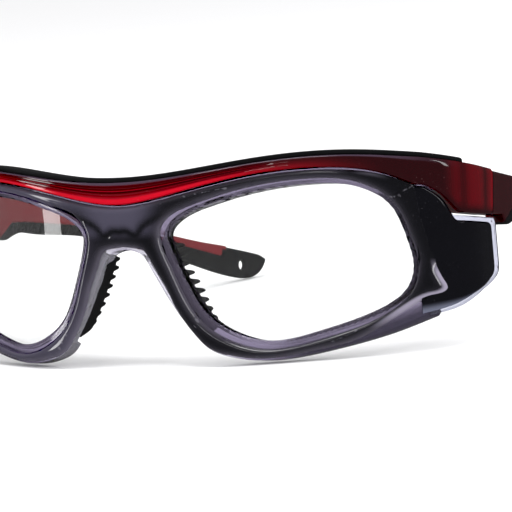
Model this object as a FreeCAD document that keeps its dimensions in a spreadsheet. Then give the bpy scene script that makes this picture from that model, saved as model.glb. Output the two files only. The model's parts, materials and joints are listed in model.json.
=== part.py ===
"""Wrap-round prescription safety spectacles: a layered front with side shields, two folding arms and their fittings.

The object is drawn as it is worn: X to the wearer's left, Y from the brow back to the ears, Z up, and the zero of all
three where the lens line crosses the bridge. Left is the wearer's left. It is then laid down on its lens rims and arm
tips, the way it stands on a table."""

import FreeCAD, Part
import math
import os
from FreeCAD import Placement, Rotation, Vector

doc = FreeCAD.newDocument("safety_spectacles")

# ---------------------------------------------------------------- driving dimensions, in millimetres and degrees
SIZES = [
    ("wrap_radius", 95.0, "plan radius of the front"),
    ("wrap_angle", 42.0, "half angle over which the front follows that radius, degrees"),
    ("corner_radius", 14.0, "plan radius where the front turns back along the arm"),
    ("face_tilt", 9.2, "lean of the front, top forward, degrees"),
    ("half_bridge", 11.3, "centre line to the nasal edge of a lens opening"),
    ("opening_width", 48.8, "width of a lens opening, seen from the front"),
    ("opening_height", 33.4, "height of a lens opening"),
    ("opening_middle", -1.9, "height of the middle of the opening"),
    ("rim_below", 4.3, "rim under the opening"),
    ("nose_arch", 1.3, "height of the top of the nose arch"),
    ("bridge_top", 10.9, "height of the upper edge of the front at the centre"),
    ("brow_rise", 7.2, "rise of that edge from the centre to above the lens"),
    ("bar_height", 4.8, "red bar at the centre"),
    ("bar_end_height", 2.7, "red bar above the lens"),
    ("front_half", 62.3, "centre line to where the side shield begins"),
    ("base_back", 2.6, "clear layer behind the lens line"),
    ("base_front", 0.8, "clear layer in front of the lens line"),
    ("cover_thick", 1.5, "dark layer laid on the front"),
    ("cover_step", 1.5, "clear lip that the dark layer leaves round the opening"),
    ("cover_inset", 1.4, "clear edge that the dark layer leaves beside the nose, at its widest"),
    ("lens_thick", 1.6, "lens"),
    ("lens_seat", 0.9, "how far the lens reaches into its groove"),
    ("lens_gap", 0.05, "clearance of the lens in its groove"),
    ("bar_front", 2.4, "red bar in front of the lens line"),
    ("strip_height", 1.2, "soft strip on top of the bar"),
    ("strip_front", 1.7, "soft strip in front of the lens line"),
    ("strip_back", 4.2, "soft strip behind the lens line"),
    ("strip_end", 28.5, "rear end of the soft strip"),
    ("shield_back", 1.0, "shield behind the lens line"),
    ("shield_front", 0.6, "shield in front of the lens line"),
    ("panel_thick", 1.0, "dark panel laid on the shield"),
    ("panel_edge", 3.6, "clear border behind the dark panel"),
    ("shield_end", 41.5, "rear edge of the shield"),
    ("shield_top", 8.2, "upper edge of the shield"),
    ("panel_below", 1.1, "clear border over the dark panel"),
    ("panel_above", 1.6, "clear border under the dark panel"),
    ("hollow_run", 8.4, "flat underside of the end block, ahead of the hinge"),
    ("block_top", 18.2, "top of the end block at the hinge"),
    ("block_bottom", 8.7, "underside of the end block at the hinge"),
    ("joint_y", 37.0, "hinge axis, and the face where front and arm meet"),
    ("joint_gap", 0.2, "gap between the end block and the arm"),
    ("hinge_inset", 1.0, "hinge axis inside the inner face of the end block"),
    ("hinge_middle", 13.3, "height of the middle of the hinge"),
    ("barrel_span", 6.4, "height of the whole barrel"),
    ("barrel_radius", 1.7, "knuckles of the hinge"),
    ("arm_knuckle", 2.2, "height of the knuckle on the arm"),
    ("knuckle_gap", 0.1, "gap between knuckles"),
    ("screw_radius", 0.7, "hinge screw"),
    ("screw_running", 0.05, "clearance of the arm's knuckle on the screw"),
    ("screw_fixed", 0.02, "clearance of the front's knuckles on the screw"),
    ("head_radius", 1.2, "head of the hinge screw"),
    ("head_height", 0.7, "head of the hinge screw"),
    ("plate_thick", 1.0, "hinge plate, let into the inner face"),
    ("plate_length", 8.0, "hinge plate, away from the axis"),
    ("barrel_relief", 0.3, "clearance cut round the barrel"),
    ("arm_end", 146.6, "rear end of the arm"),
    ("bend_start", 95.0, "where the arm begins to curve in"),
    ("waist_start", 62.0, "where the arm has tapered to its waist"),
    ("waist_thick", 3.4, "arm at its waist"),
    ("tip_thick", 2.0, "arm at its tip"),
    ("tip_inset", 5.5, "how far the tip curves in towards the head"),
    ("tip_bottom", 0.9, "height of the lowest point of the arm"),
    ("tip_top", 7.05, "height of the arm's upper edge at the tip"),
    ("web_back", 16.5, "from the end of the red web inside the sleeve to the arm's end"),
    ("hole_radius", 1.3, "hole for a retaining cord"),
    ("hole_back", 7.5, "from the middle of that hole to the arm's end"),
    ("hole_up", 3.3, "from the lowest point of the arm up to that hole"),
    ("pad_splay", 15.0, "angle at which the nose pads open towards the face, degrees"),
    ("pad_start", 0.5, "front of a nose pad, behind the lens line"),
    ("pad_wide", 2.9, "nose pad"),
    ("pad_deep", 5.9, "solid part of a nose pad"),
    ("pad_top", 2.7, "height of the upper end of a nose pad"),
    ("rebate_clear", 0.3, "clearance of the pad's rebate beside the arch"),
    ("rebate_open", 1.0, "how far the rebate is cut past the edge beside the nose"),
    ("fin_count", 9, "fins on a nose pad"),
    ("fins_tapering", 3, "lowest fins, each shorter than the one above"),
    ("fin_thick", 1.3, "fin"),
    ("fin_long", 2.35, "fin"),
    ("fin_short", 0.7, "lowest fin"),
    ("fin_pitch", 1.96, "fin to fin"),
    ("fin_highest", 2.0, "height of the middle of the highest fin"),
]
sheet = doc.addObject("Spreadsheet::Sheet", "sizes")
for row, (alias, value, meaning) in enumerate(SIZES, start=1):
    sheet.set(f"A{row}", meaning)
    sheet.set(f"B{row}", str(value))
    sheet.setAlias(f"B{row}", alias)
doc.recompute()
S = {alias: float(sheet.get(alias)) for alias, value, meaning in SIZES}
REACH = 60.0  # construction solids run this far past the object
CURVE_STEPS = 36  # points taken along a curve to draw one beside it


# ---------------------------------------------------------------- small makers
def bind(made, **formulas):
    """Binds properties to formulas in sheet aliases; a name such as Base_x stands for Placement.Base.x."""
    for prop, formula in formulas.items():
        path = "Placement.Base." + prop[-1] if prop.startswith("Base_") else prop
        made.setExpression(path, formula.replace("$", "sizes."))
    return made


def outline(name, shape):
    """A face drawn by the functions below, which read the sheet."""
    made = doc.addObject("Part::Feature", name)
    made.Shape = shape
    return made


def extrusion(name, base, direction, formula):
    made = doc.addObject("Part::Extrusion", name)
    made.Base = base
    made.DirMode = "Custom"
    made.Dir = direction
    made.Solid = True
    return bind(made, LengthFwd=formula)


def boolean(kind, name, first, second):
    made = doc.addObject("Part::" + kind, name)
    made.Base = first
    made.Tool = second
    return made


def fused(name, *pieces):
    made = doc.addObject("Part::MultiFuse", name)
    made.Shapes = list(pieces)
    made.Refine = True
    return made


def mirrored(name, source):
    made = doc.addObject("Part::Mirroring", name)
    made.Source = source
    made.Normal = Vector(1, 0, 0)
    return made


def box(name, x, y, z, length, width, height):
    made = doc.addObject("Part::Box", name)
    return bind(made, Base_x=x, Base_y=y, Base_z=z, Length=length, Width=width, Height=height)


def rod(name, x, y, z, radius, height):
    made = doc.addObject("Part::Cylinder", name)
    return bind(made, Base_x=x, Base_y=y, Base_z=z, Radius=radius, Height=height)


def through_front(name, flat):
    """A front-view face as a bar along Y, right through the object."""
    flat = flat.copy()
    flat.translate(Vector(0, -REACH / 2, 0))
    return extrusion(name, outline(name + "_outline", flat), Vector(0, 1, 0), f"{2 * REACH}")


def through_side(name, flat):
    """A side-view face, drawn at its own X, as a bar outwards along X."""
    return extrusion(name, outline(name + "_outline", flat), Vector(1, 0, 0), f"{REACH / 2}")


# ---------------------------------------------------------------- curves and faces
def front_view(pairs):
    return [Vector(x, 0, z) for x, z in pairs]


def side_view(pairs, x):
    return [Vector(x, y, z) for y, z in pairs]


def line(a, b):
    return Part.LineSegment(a, b).toShape()


def spline(points, closed=False):
    curve = Part.BSplineCurve()
    curve.interpolate(Points=points, PeriodicFlag=closed)
    return curve.toShape()


def moved_sideways(edge, axis, distance, closed=False):
    """A spline beside a curve: points along it, each moved by the distance square to the curve and to the axis."""
    first, last = edge.ParameterRange
    steps = CURVE_STEPS if closed else CURVE_STEPS - 1
    places = [first + (last - first) * index / steps for index in range(CURVE_STEPS)]
    return spline([edge.valueAt(u) + axis.cross(edge.tangentAt(u)) * distance for u in places], closed)


def face(edges):
    return Part.Face(Part.Wire(Part.__sortEdges__(edges)))


def polygon(points):
    return Part.Face(Part.makePolygon(points + points[:1]))


def symmetric_curve(centre_height, pairs):
    """A curve through its point on the centre line, the given points and their mirror images."""
    right = front_view(pairs)
    left = [Vector(-p.x, p.y, p.z) for p in reversed(right)]
    return spline(left + [Vector(0, 0, centre_height)] + right)


def symmetric_face(lower_centre, lower, upper_centre, upper):
    """The face between two symmetrical curves, closed by a line at each end."""
    edges = [symmetric_curve(lower_centre, lower), symmetric_curve(upper_centre, upper)]
    for side in (1, -1):
        a, b = lower[-1], upper[-1]
        edges.append(line(Vector(side * a[0], 0, a[1]), Vector(side * b[0], 0, b[1])))
    return face(edges)


# ---------------------------------------------------------------- the wrap: plan curve of the lens line, and walls on it
TURN = math.radians(S["wrap_angle"])
LEAN = math.tan(math.radians(S["face_tilt"]))
CORNER_X = (S["wrap_radius"] - S["corner_radius"]) * math.sin(TURN)
CORNER_Y = S["wrap_radius"] - (S["wrap_radius"] - S["corner_radius"]) * math.cos(TURN)
SIDE_X = CORNER_X + S["corner_radius"]  # beside the head the lens line runs straight back at this X
SIDE = "(($wrap_radius - $corner_radius) * sin($wrap_angle) + $corner_radius)"


def wrap_edges(offset, end):
    """The plan curve moved outwards by offset: the front arc, and a corner arc and a straight run on each side."""

    def on_front(angle):
        radius = S["wrap_radius"] + offset
        return Vector(radius * math.sin(angle), S["wrap_radius"] - radius * math.cos(angle), 0)

    def on_corner(angle, side):
        radius = S["corner_radius"] + offset
        return Vector(side * (CORNER_X + radius * math.sin(angle)), CORNER_Y - radius * math.cos(angle), 0)

    edges = [Part.Arc(on_front(-TURN), on_front(0), on_front(TURN)).toShape()]
    for side in (1, -1):
        halfway = on_corner((TURN + math.pi / 2) / 2, side)
        last = on_corner(math.pi / 2, side)
        edges.append(Part.Arc(on_front(side * TURN), halfway, last).toShape())
        edges.append(line(last, Vector(last.x, end, 0)))
    return edges


def wrap_band(name, back, front):
    """The wall between two offsets of the plan curve, leaning with the face."""
    end = S["arm_end"]
    edges = wrap_edges(-back, end) + wrap_edges(front, end)
    for side in (1, -1):
        edges.append(line(Vector(side * (SIDE_X - back), end, 0), Vector(side * (SIDE_X + front), end, 0)))
    plan = face(edges)
    plan.translate(Vector(0, LEAN * REACH / 2, -REACH / 2))
    return extrusion(name, outline(name + "_plan", plan), Vector(0, -LEAN, 1), f"{REACH} / cos($face_tilt)")


def lens_line_y(x, z):
    return S["wrap_radius"] - math.sqrt(S["wrap_radius"] ** 2 - x * x) - z * LEAN


base_band = wrap_band("base_band", S["base_back"], S["base_front"])
cover_band = wrap_band("cover_band", -S["base_front"], S["base_front"] + S["cover_thick"])
bar_band = wrap_band("bar_band", S["base_back"], S["bar_front"])
strip_band = wrap_band("strip_band", S["strip_back"], S["strip_front"])
shield_band = wrap_band("shield_band", S["shield_back"], S["shield_front"])
panel_band = wrap_band("panel_band", -S["shield_front"], S["shield_front"] + S["panel_thick"])
lens_band = wrap_band("lens_band", S["lens_thick"], 0.0)
groove_band = wrap_band("groove_band", S["lens_thick"] + S["lens_gap"], S["lens_gap"])

# ---------------------------------------------------------------- outlines seen from the front
HALF = S["half_bridge"]
WIDE = S["opening_width"]
FLOOR = S["opening_middle"] - S["opening_height"] / 2
RIM = FLOOR - S["rim_below"]
ARCH = S["nose_arch"]
SPLIT = S["front_half"]
CREST = S["bridge_top"] + S["brow_rise"]
# a lens opening in shares of its width and height, from its nasal edge over the top and round
OPENING = [
    (0.0, 0.70), (0.05, 0.78), (0.18, 0.862), (0.42, 0.955), (0.66, 1.0), (0.82, 0.98),
    (0.925, 0.885), (0.985, 0.65), (1.0, 0.47), (0.965, 0.32), (0.86, 0.195), (0.64, 0.065),
    (0.43, 0.0), (0.28, 0.05), (0.16, 0.165), (0.068, 0.39), (0.01, 0.59),
]
# beside the nose, from the arch down
NOSE = [
    (0.21 * HALF, ARCH - 0.35), (0.38 * HALF, ARCH - 1.2), (0.49 * HALF, ARCH - 2.8), (0.575 * HALF, ARCH - 4.6),
    (0.78 * HALF, ARCH - 8.7), (0.965 * HALF, ARCH - 12.2), (1.16 * HALF, RIM + 8.8), (1.39 * HALF, RIM + 5.55),
    (1.63 * HALF, RIM + 2.7),
]
# the dark layer keeps off that edge by these shares of its inset, square to the run of the edge
COVER_SHARES = (0.2, 0.65, 0.95, 1.0, 0.95, 0.55, 0.35, 0.2, 0.0)
OFF_NOSE = Vector(math.cos(math.radians(30)), 0, math.sin(math.radians(30)))
COVER_NOSE = [
    (x + share * S["cover_inset"] * OFF_NOSE.x, z + share * S["cover_inset"] * OFF_NOSE.z)
    for (x, z), share in zip(NOSE, COVER_SHARES)
]
# under the lens and up to the side shield
UNDER = [
    (HALF + 0.25 * WIDE, RIM + 0.7), (HALF + 0.37 * WIDE, RIM), (HALF + 0.5 * WIDE, RIM + 0.5),
    (HALF + 0.64 * WIDE, RIM + 2.0), (HALF + 0.77 * WIDE, RIM + 3.8), (HALF + 0.9 * WIDE, RIM + 6.1),
    (SPLIT, RIM + 9.6),
]
# the lower edge of the dark layer leaves the rim and climbs to the side
RIDGE = UNDER[:4] + [(HALF + 0.79 * WIDE, RIM + 5.6), (HALF + 0.93 * WIDE, RIM + 9.3), (SPLIT, RIM + 12.8)]
# upper edge of the front, in shares of the way to the side and of the rise
BROW = [(0.12, 0.1), (0.28, 0.39), (0.5, 0.79), (0.68, 0.98), (0.81, 0.99), (0.92, 0.82), (1.0, 0.5)]
BROW = [(way * SPLIT, S["bridge_top"] + rise * S["brow_rise"]) for way, rise in BROW]
# top of the red bar, in shares of the way to the side and of the climb from the centre to the crest
BAR_MIDDLE = S["bridge_top"] + S["bar_height"]
BAR_CREST = CREST + S["bar_end_height"]
BAR = [(0.16, 0.09), (0.33, 0.35), (0.5, 0.67), (0.67, 0.92), (0.84, 1.0), (1.0, 0.9)]
BAR = [(way * SPLIT, BAR_MIDDLE + climb * (BAR_CREST - BAR_MIDDLE)) for way, climb in BAR]
STRIP = [(x, z + S["strip_height"]) for x, z in BAR]


def opening(grow, side):
    """The face of a lens opening, grown by a margin, on the left (1) or the right (-1)."""
    points = [(HALF + across * WIDE, FLOOR + up * S["opening_height"]) for across, up in OPENING]
    edge = spline(front_view(points), closed=True)
    if grow:
        edge = moved_sideways(edge, Vector(0, -1, 0), grow, closed=True)
    flat = face([edge])
    return flat if side > 0 else flat.mirror(Vector(0, 0, 0), Vector(1, 0, 0))


def with_openings(flat, grow):
    for side in (1, -1):
        flat = flat.cut(opening(grow, side))
    return flat


# ---------------------------------------------------------------- lenses
lens_bar = through_front("lens_bar", opening(S["lens_seat"], 1))
lens = boolean("Common", "lens_solid", lens_bar, lens_band)

# ---------------------------------------------------------------- nose pads, let into the back of the front
SPLAY = math.radians(S["pad_splay"])
BACKWARD = Vector(math.sin(SPLAY), math.cos(SPLAY), 0)
ABOVE_ARCH = [(0.455 * HALF, S["pad_top"]), (0.46 * HALF, (S["pad_top"] + ARCH - 2.8) / 2)]
BESIDE_NOSE = ABOVE_ARCH + NOSE[2:8]
WRAP_SLOPE = 0.75 * HALF / S["wrap_radius"]  # mean slope of the lens line across a pad
STRIP_RISE = 0.3  # the strip beside the nose runs up this much for each millimetre across


def strip_line(across):
    """The line beside the nose moved outwards, in a plane that leans with the face."""
    moved = [(x + across, z + across * STRIP_RISE) for x, z in BESIDE_NOSE]
    return [Vector(x, x * WRAP_SLOPE - z * LEAN, z) for x, z in moved]


def nose_strip(name, near, start, formula):
    """The strip from the near line to the pad's outer side, drawn out along the splay from start."""
    far = strip_line(S["pad_wide"])
    flat = face([spline(near), spline(far), line(near[0], far[0]), line(near[-1], far[-1])])
    flat.translate(BACKWARD * start)
    return extrusion(name, outline(name + "_outline", flat), BACKWARD, formula)


PAD_LINE = strip_line(0.0)
pad_body = nose_strip("pad_body", PAD_LINE, S["pad_start"], "$pad_deep")
fins = []
for index in range(int(S["fin_count"])):
    taper = max(0, index + 1 + int(S["fins_tapering"]) - int(S["fin_count"]))
    length = f"$fin_long - ($fin_long - $fin_short) * {taper} / $fins_tapering"
    fin_strip = nose_strip(f"fin_strip_{index}", PAD_LINE, S["pad_start"] + S["pad_deep"], length)
    level = f"$fin_highest - $fin_thick / 2 - {index} * $fin_pitch"
    slab = box(f"fin_slab_{index}", "0", "0", level, "3 * $half_bridge", f"{REACH}", "$fin_thick")
    fins.append(boolean("Common", f"fin_{index}", fin_strip, slab))
nose_pad = fused("nose_pad_solid", pad_body, *fins)
# the rebate for it closes at its upper end and is open towards the nose below the arch
REBATE_LINE = [PAD_LINE[0], strip_line(-S["rebate_clear"])[1]] + strip_line(-S["rebate_open"])[2:]
rebate = nose_strip("pad_rebate", REBATE_LINE, S["pad_start"], "$pad_deep")

# ---------------------------------------------------------------- the two layers of the front
front_flat = symmetric_face(ARCH, NOSE + UNDER, S["bridge_top"], BROW)
base_bar = through_front("base_bar", with_openings(front_flat, 0.0))
base_plain = boolean("Common", "base_plain", base_bar, base_band)
groove_bar = through_front("groove_bar", opening(S["lens_seat"] + S["lens_gap"], 1))
groove = boolean("Common", "groove", groove_bar, groove_band)
base_cuts = fused("base_cuts", groove, mirrored("groove_mirror", groove), rebate, mirrored("rebate_mirror", rebate))
front_frame = boolean("Cut", "front_frame_solid", base_plain, base_cuts)

cover_flat = symmetric_face(ARCH, COVER_NOSE + RIDGE, S["bridge_top"], BROW)
cover_bar = through_front("cover_bar", with_openings(cover_flat, S["cover_step"]))
front_cover = boolean("Common", "front_cover_solid", cover_bar, cover_band)

# ---------------------------------------------------------------- hinge, round an axis along Z
AXIS_X = f"({SIDE} - $base_back - $hinge_inset)"
PLATE_X = f"({SIDE} - $base_back)"
LOW_Z = "($hinge_middle - $barrel_span / 2)"
FRONT_KNUCKLE = "(($barrel_span - $arm_knuckle) / 2 - $knuckle_gap)"
ARM_KNUCKLE_Z = "($hinge_middle - $arm_knuckle / 2)"
UPPER_KNUCKLE_Z = "($hinge_middle + $arm_knuckle / 2 + $knuckle_gap)"
FRONT_END = "($joint_y - $joint_gap / 2)"
ARM_START = "($joint_y + $joint_gap / 2)"


def on_axis(name, z, radius, height):
    return rod(name, AXIS_X, "$joint_y", z, radius, height)


def plate(name, start):
    """A hinge plate let into the inner face, from start backwards."""
    return box(name, PLATE_X, start, LOW_Z, "$plate_thick", "$plate_length - $joint_gap / 2", "$barrel_span")


def knuckle_room(name, z, height):
    """What a plate leaves free round a knuckle of the other half."""
    return on_axis(name, z, "$barrel_radius + $knuckle_gap * 2", height)


front_plate = plate("front_plate", "$joint_y - $plate_length")
front_knuckles = fused(
    "front_knuckles",
    front_plate,
    on_axis("lower_knuckle", LOW_Z, "$barrel_radius", FRONT_KNUCKLE),
    on_axis("upper_knuckle", UPPER_KNUCKLE_Z, "$barrel_radius", FRONT_KNUCKLE),
)
arm_room = knuckle_room("arm_room", f"{ARM_KNUCKLE_Z} - $knuckle_gap", "$arm_knuckle + 2 * $knuckle_gap")
fixed_bore = on_axis("fixed_bore", f"{LOW_Z} - 1", "$screw_radius + $screw_fixed", "$barrel_span + 2")
hinge_front = boolean("Cut", "hinge_front_solid", front_knuckles, fused("front_cuts", arm_room, fixed_bore))

arm_plate = plate("arm_plate", ARM_START)
lower_room = knuckle_room("lower_room", f"{LOW_Z} - 1", f"{FRONT_KNUCKLE} + 1 + $knuckle_gap")
upper_room = knuckle_room("upper_room", f"{UPPER_KNUCKLE_Z} - $knuckle_gap", f"{FRONT_KNUCKLE} + 1")
cleared_plate = boolean("Cut", "cleared_plate", arm_plate, fused("arm_plate_rooms", lower_room, upper_room))
arm_knuckle = fused(
    "arm_knuckle", cleared_plate, on_axis("middle_knuckle", ARM_KNUCKLE_Z, "$barrel_radius", "$arm_knuckle")
)
running_bore = on_axis("running_bore", f"{LOW_Z} - 1", "$screw_radius + $screw_running", "$barrel_span + 2")
hinge_arm = boolean("Cut", "hinge_arm_solid", arm_knuckle, running_bore)

HEAD_Z = f"({LOW_Z} + $barrel_span)"
screw = fused(
    "screw_blank",
    on_axis("screw_shank", LOW_Z, "$screw_radius", "$barrel_span + $head_height / 2"),
    on_axis("screw_head", HEAD_Z, "$head_radius", "$head_height"),
)
slot = box(
    "screw_slot",
    f"{AXIS_X} - $head_radius",
    "$joint_y - $head_radius / 8",
    f"{HEAD_Z} + $head_height / 2",
    "$head_radius * 2",
    "$head_radius / 4",
    "$head_height",
)
hinge_screw = boolean("Cut", "hinge_screw_solid", screw, slot)
relief = on_axis("relief", f"{LOW_Z} - $barrel_relief", "$barrel_radius + $barrel_relief", f"{REACH}")

# ---------------------------------------------------------------- brow: red bar with its end blocks, and the soft strip
BLOCK_END = S["joint_y"] - S["joint_gap"] / 2
AHEAD = -REACH / 2  # in front of everything
AT_BAR = lens_line_y(SPLIT, BAR[-1][1]) + S["base_back"]
AT_BROW = lens_line_y(SPLIT, BROW[-1][1]) + S["base_back"]
HOLLOW_START = BLOCK_END - S["hollow_run"]
SHIELD_GAP = S["block_bottom"] - S["shield_top"]
bar_flat = symmetric_face(S["bridge_top"], BROW, BAR_MIDDLE, BAR)
bar_middle = boolean("Common", "bar_middle", through_front("bar_bar", bar_flat), bar_band)
BLOCK_TOP_LINE = [(BLOCK_END, S["block_top"]), (AT_BAR, BAR[-1][1]), (AHEAD, BAR[-1][1])]
block_flat = polygon(
    side_view(
        [
            (AHEAD, BROW[-1][1]),
            (AT_BROW, BROW[-1][1]),
            (HOLLOW_START, S["block_bottom"]),
            (BLOCK_END, S["block_bottom"]),
        ]
        + BLOCK_TOP_LINE,
        SPLIT,
    )
)
block_whole = boolean("Common", "block_whole", through_side("block_bar", block_flat), bar_band)
block = boolean("Cut", "block", block_whole, fused("block_cuts", relief, front_plate))
brow_bar = fused("brow_bar_solid", bar_middle, block, mirrored("block_mirror", block))

strip_flat = symmetric_face(BAR_MIDDLE, BAR, BAR_MIDDLE + S["strip_height"], STRIP)
strip_middle = boolean("Common", "strip_middle", through_front("strip_bar", strip_flat), strip_band)
strip_side_flat = polygon(
    side_view(BLOCK_TOP_LINE + [(y, z + S["strip_height"]) for y, z in reversed(BLOCK_TOP_LINE)], SPLIT)
)
strip_run = boolean("Common", "strip_run", through_side("strip_side_bar", strip_side_flat), strip_band)
strip_room = box("strip_room", "0", f"{AHEAD}", f"{AHEAD}", f"{2 * REACH}", f"$strip_end - ({AHEAD})", f"{REACH}")
strip_side = boolean("Common", "strip_side", strip_run, strip_room)
brow_strip = fused("brow_strip_solid", strip_middle, strip_side, mirrored("strip_side_mirror", strip_side))

# ---------------------------------------------------------------- side shields and their dark panels
END = S["shield_end"]
TOP = S["shield_top"]
AT_UNDER = lens_line_y(SPLIT, UNDER[-1][1])
# how far the hollow under the end block has run back where the shield's top edge meets it
HOLLOW_RUN = (HOLLOW_START - AT_BROW) / (BROW[-1][1] - S["block_bottom"])


# the shield's rear corners: how far ahead of the rear edge, and how far below the top or above the lowest point
TOP_CORNER = [(2.6, 0.0), (0.8, 0.9), (0.0, 6.0)]
LOW_CORNER = [(0.1, 10.3), (1.5, 7.2), (5.2, 5.1)]
FORWARD = (3.6, 2.3)  # where its lower edge meets the rim: behind the lens line, above the lowest point


def shield_outline(rear, top, low):
    """Side view of the shield: under the end block, along the top, down the rear edge and forward to the rim."""
    rear_edge = END - rear
    upper = TOP - top
    lower = UNDER[-1][1] + low
    points = [
        (AHEAD, lower),
        (AHEAD, BROW[-1][1]),
        (AT_BROW, BROW[-1][1]),
        (HOLLOW_START + HOLLOW_RUN * (SHIELD_GAP + top), upper),
    ]
    points += [(rear_edge - ahead, upper - below) for ahead, below in TOP_CORNER]
    points += [(rear_edge - ahead, lower + above) for ahead, above in LOW_CORNER]
    points += [(AT_UNDER + FORWARD[0], lower + FORWARD[1]), (AT_UNDER - S["base_front"], lower)]
    return polygon(side_view(points, SPLIT))


shield_bar = through_side("shield_bar", shield_outline(0.0, 0.0, 0.0))
shield = boolean("Common", "shield_solid", shield_bar, shield_band)
panel_bar = through_side("panel_bar", shield_outline(S["panel_edge"], S["panel_below"], S["panel_above"]))
panel = boolean("Common", "panel_solid", panel_bar, panel_band)

# ---------------------------------------------------------------- arm: a hard red core under a soft black sleeve
INNER_X = SIDE_X - S["base_back"]
START = S["joint_y"] + S["joint_gap"] / 2
REAR = S["arm_end"]
STATIONS = [
    (START, 0.0, S["base_back"] + S["bar_front"]),
    (S["waist_start"], 0.0, S["waist_thick"]),
    (S["bend_start"], 0.0, S["waist_thick"]),
    ((S["bend_start"] + REAR) / 2, S["tip_inset"] / 4, (S["waist_thick"] + S["tip_thick"]) / 2),
    (REAR, S["tip_inset"], S["tip_thick"]),
]


def arm_plan(start, stop):
    """Plan of the arm between two shares of its thickness, from above."""
    sides = []
    for share in (start, stop):
        points = [Vector(INNER_X - inset + share * thick, y, -REACH / 2) for y, inset, thick in STATIONS]
        sides.append(points)
    edges = [line(sides[0][0], sides[1][0]), line(sides[0][-1], sides[1][-1])]
    for points in sides:
        edges.append(line(points[0], points[1]))
        edges.append(line(points[1], points[2]))
        edges.append(Part.Arc(points[2], points[3], points[4]).toShape())
    return face(edges)


def along(share):
    """Y at a share of the arm's length from the hinge."""
    return S["joint_y"] + share * (REAR - S["joint_y"])


def down(share):
    """Height at a share of the fall of the arm's underside, from the end block to the tip."""
    return S["block_bottom"] - share * (S["block_bottom"] - S["tip_bottom"])


def fall(share):
    """Height at a share of the fall of the arm's upper edge, from the end block to the tip."""
    return S["block_top"] - share * (S["block_top"] - S["tip_top"])


UNDERSIDE = [
    (END + 1.8, down(0.17)), (along(0.107), down(0.07)), (along(0.195), down(-0.03)), (along(0.35), down(-0.06)),
    (along(0.575), down(0.24)), (along(0.76), down(0.59)), (along(0.9), down(0.955)), (along(0.938), down(1.0)),
]
TIP = [(REAR - 3.6, S["tip_bottom"] + 0.5), (REAR, S["tip_bottom"] + 5.0), (REAR - 2.1, fall(1.0))]
UPPER_EDGE = [
    (REAR - 8.0, fall(0.93)), (along(0.79), fall(0.785)), (along(0.68), fall(0.67)), (along(0.48), fall(0.42)),
    (along(0.3), fall(0.21)), (along(0.1), fall(0.06)), (START, S["block_top"]),
]
WEB_COVER = 1.2  # soft material over the edges of the web
WEB_SHARES = (0.3, 0.65)  # the web's two faces, as shares of the arm's thickness
CHIN = [(START, S["block_bottom"]), (END + 0.4, S["block_bottom"])]
# lower edge of the red stripe: the slanted front of the sleeve, the long run, and the slanted rear end
SLEEVE_FRONT = [(END + 1.4, down(0.22)), (END + 5.8, down(-0.295))]
STRIPE_RUN = [
    SLEEVE_FRONT[-1], (along(0.13), down(-0.335)), (along(0.2), down(-0.35)), (along(0.31), down(-0.355)),
    (along(0.5), down(-0.22)), (along(0.7), down(0.02)), (along(0.855), down(0.32)),
]
STRIPE_END = (along(0.885), down(-0.04))
CLEAR_ABOVE = S["block_top"] + WEB_COVER


def arm_face(curve):
    """A side view that starts on the flat under the hinge, follows the curve and comes back to the hinge face."""
    chin = side_view(CHIN, 0)
    points = side_view(curve, 0)
    return face([line(*chin), line(chin[1], points[0]), spline(points), line(points[-1], chin[0])])


def stripe_face():
    """Side view of all that is red: over the lower edge of the stripe, past the arm's upper edge."""
    corners = side_view(CHIN + SLEEVE_FRONT, 0)
    run = side_view(STRIPE_RUN, 0)
    above = side_view([STRIPE_RUN[-1], STRIPE_END, (STRIPE_END[0], CLEAR_ABOVE), (START, CLEAR_ABOVE), CHIN[0]], 0)
    straight = list(zip(corners, corners[1:])) + list(zip(above, above[1:]))
    return face([line(a, b) for a, b in straight] + [spline(run)])


# the cord hole is square to the curved tip
BENT = (REAR - S["hole_back"] - S["bend_start"]) / (REAR - S["bend_start"])  # share of the bend before the hole
HOLE_THICK = S["waist_thick"] + BENT * (S["tip_thick"] - S["waist_thick"])
HOLE_MIDDLE = Vector(
    INNER_X - S["tip_inset"] * BENT**2 + HOLE_THICK / 2, REAR - S["hole_back"], S["tip_bottom"] + S["hole_up"]
)
HOLE_AXIS = Vector(REAR - S["bend_start"], 2 * S["tip_inset"] * BENT, 0).normalize()

arm_column = extrusion("arm_column", outline("arm_plan", arm_plan(0, 1)), Vector(0, 0, 1), f"{REACH}")
web_column = extrusion("web_column", outline("web_plan", arm_plan(*WEB_SHARES)), Vector(0, 0, 1), f"{REACH}")
arm_side = arm_face(UNDERSIDE + TIP + UPPER_EDGE)
arm_bar = extrusion("arm_bar", outline("arm_outline", arm_side), Vector(1, 0, 0), f"{2 * REACH}")
arm_whole = boolean("Common", "arm_whole", arm_bar, arm_column)
core_bar = extrusion("core_bar", outline("core_outline", stripe_face()), Vector(1, 0, 0), f"{2 * REACH}")
core = boolean("Common", "core", core_bar, arm_whole)
web_curve = moved_sideways(spline(side_view(UNDERSIDE + TIP + UPPER_EDGE, 0)), Vector(1, 0, 0), WEB_COVER)
web_side = face([web_curve, line(web_curve.valueAt(web_curve.LastParameter), web_curve.valueAt(0))])
web_bar = extrusion("web_bar", outline("web_outline", web_side), Vector(1, 0, 0), f"{2 * REACH}")
web_long = boolean("Common", "web_long", web_bar, web_column)
web_room = box("web_room", "0", "0", f"{AHEAD}", f"{2 * REACH}", "$arm_end - $web_back", f"{REACH}")
web = boolean("Common", "web", web_long, web_room)
core_webbed = fused("core_webbed", core, web)
sleeve_blank = boolean("Cut", "sleeve_blank", arm_whole, core_webbed)
cord_hole = doc.addObject("Part::Cylinder", "cord_hole")
cord_hole.Placement = Placement(HOLE_MIDDLE - HOLE_AXIS * REACH / 2, Rotation(Vector(0, 0, 1), HOLE_AXIS))
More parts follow.
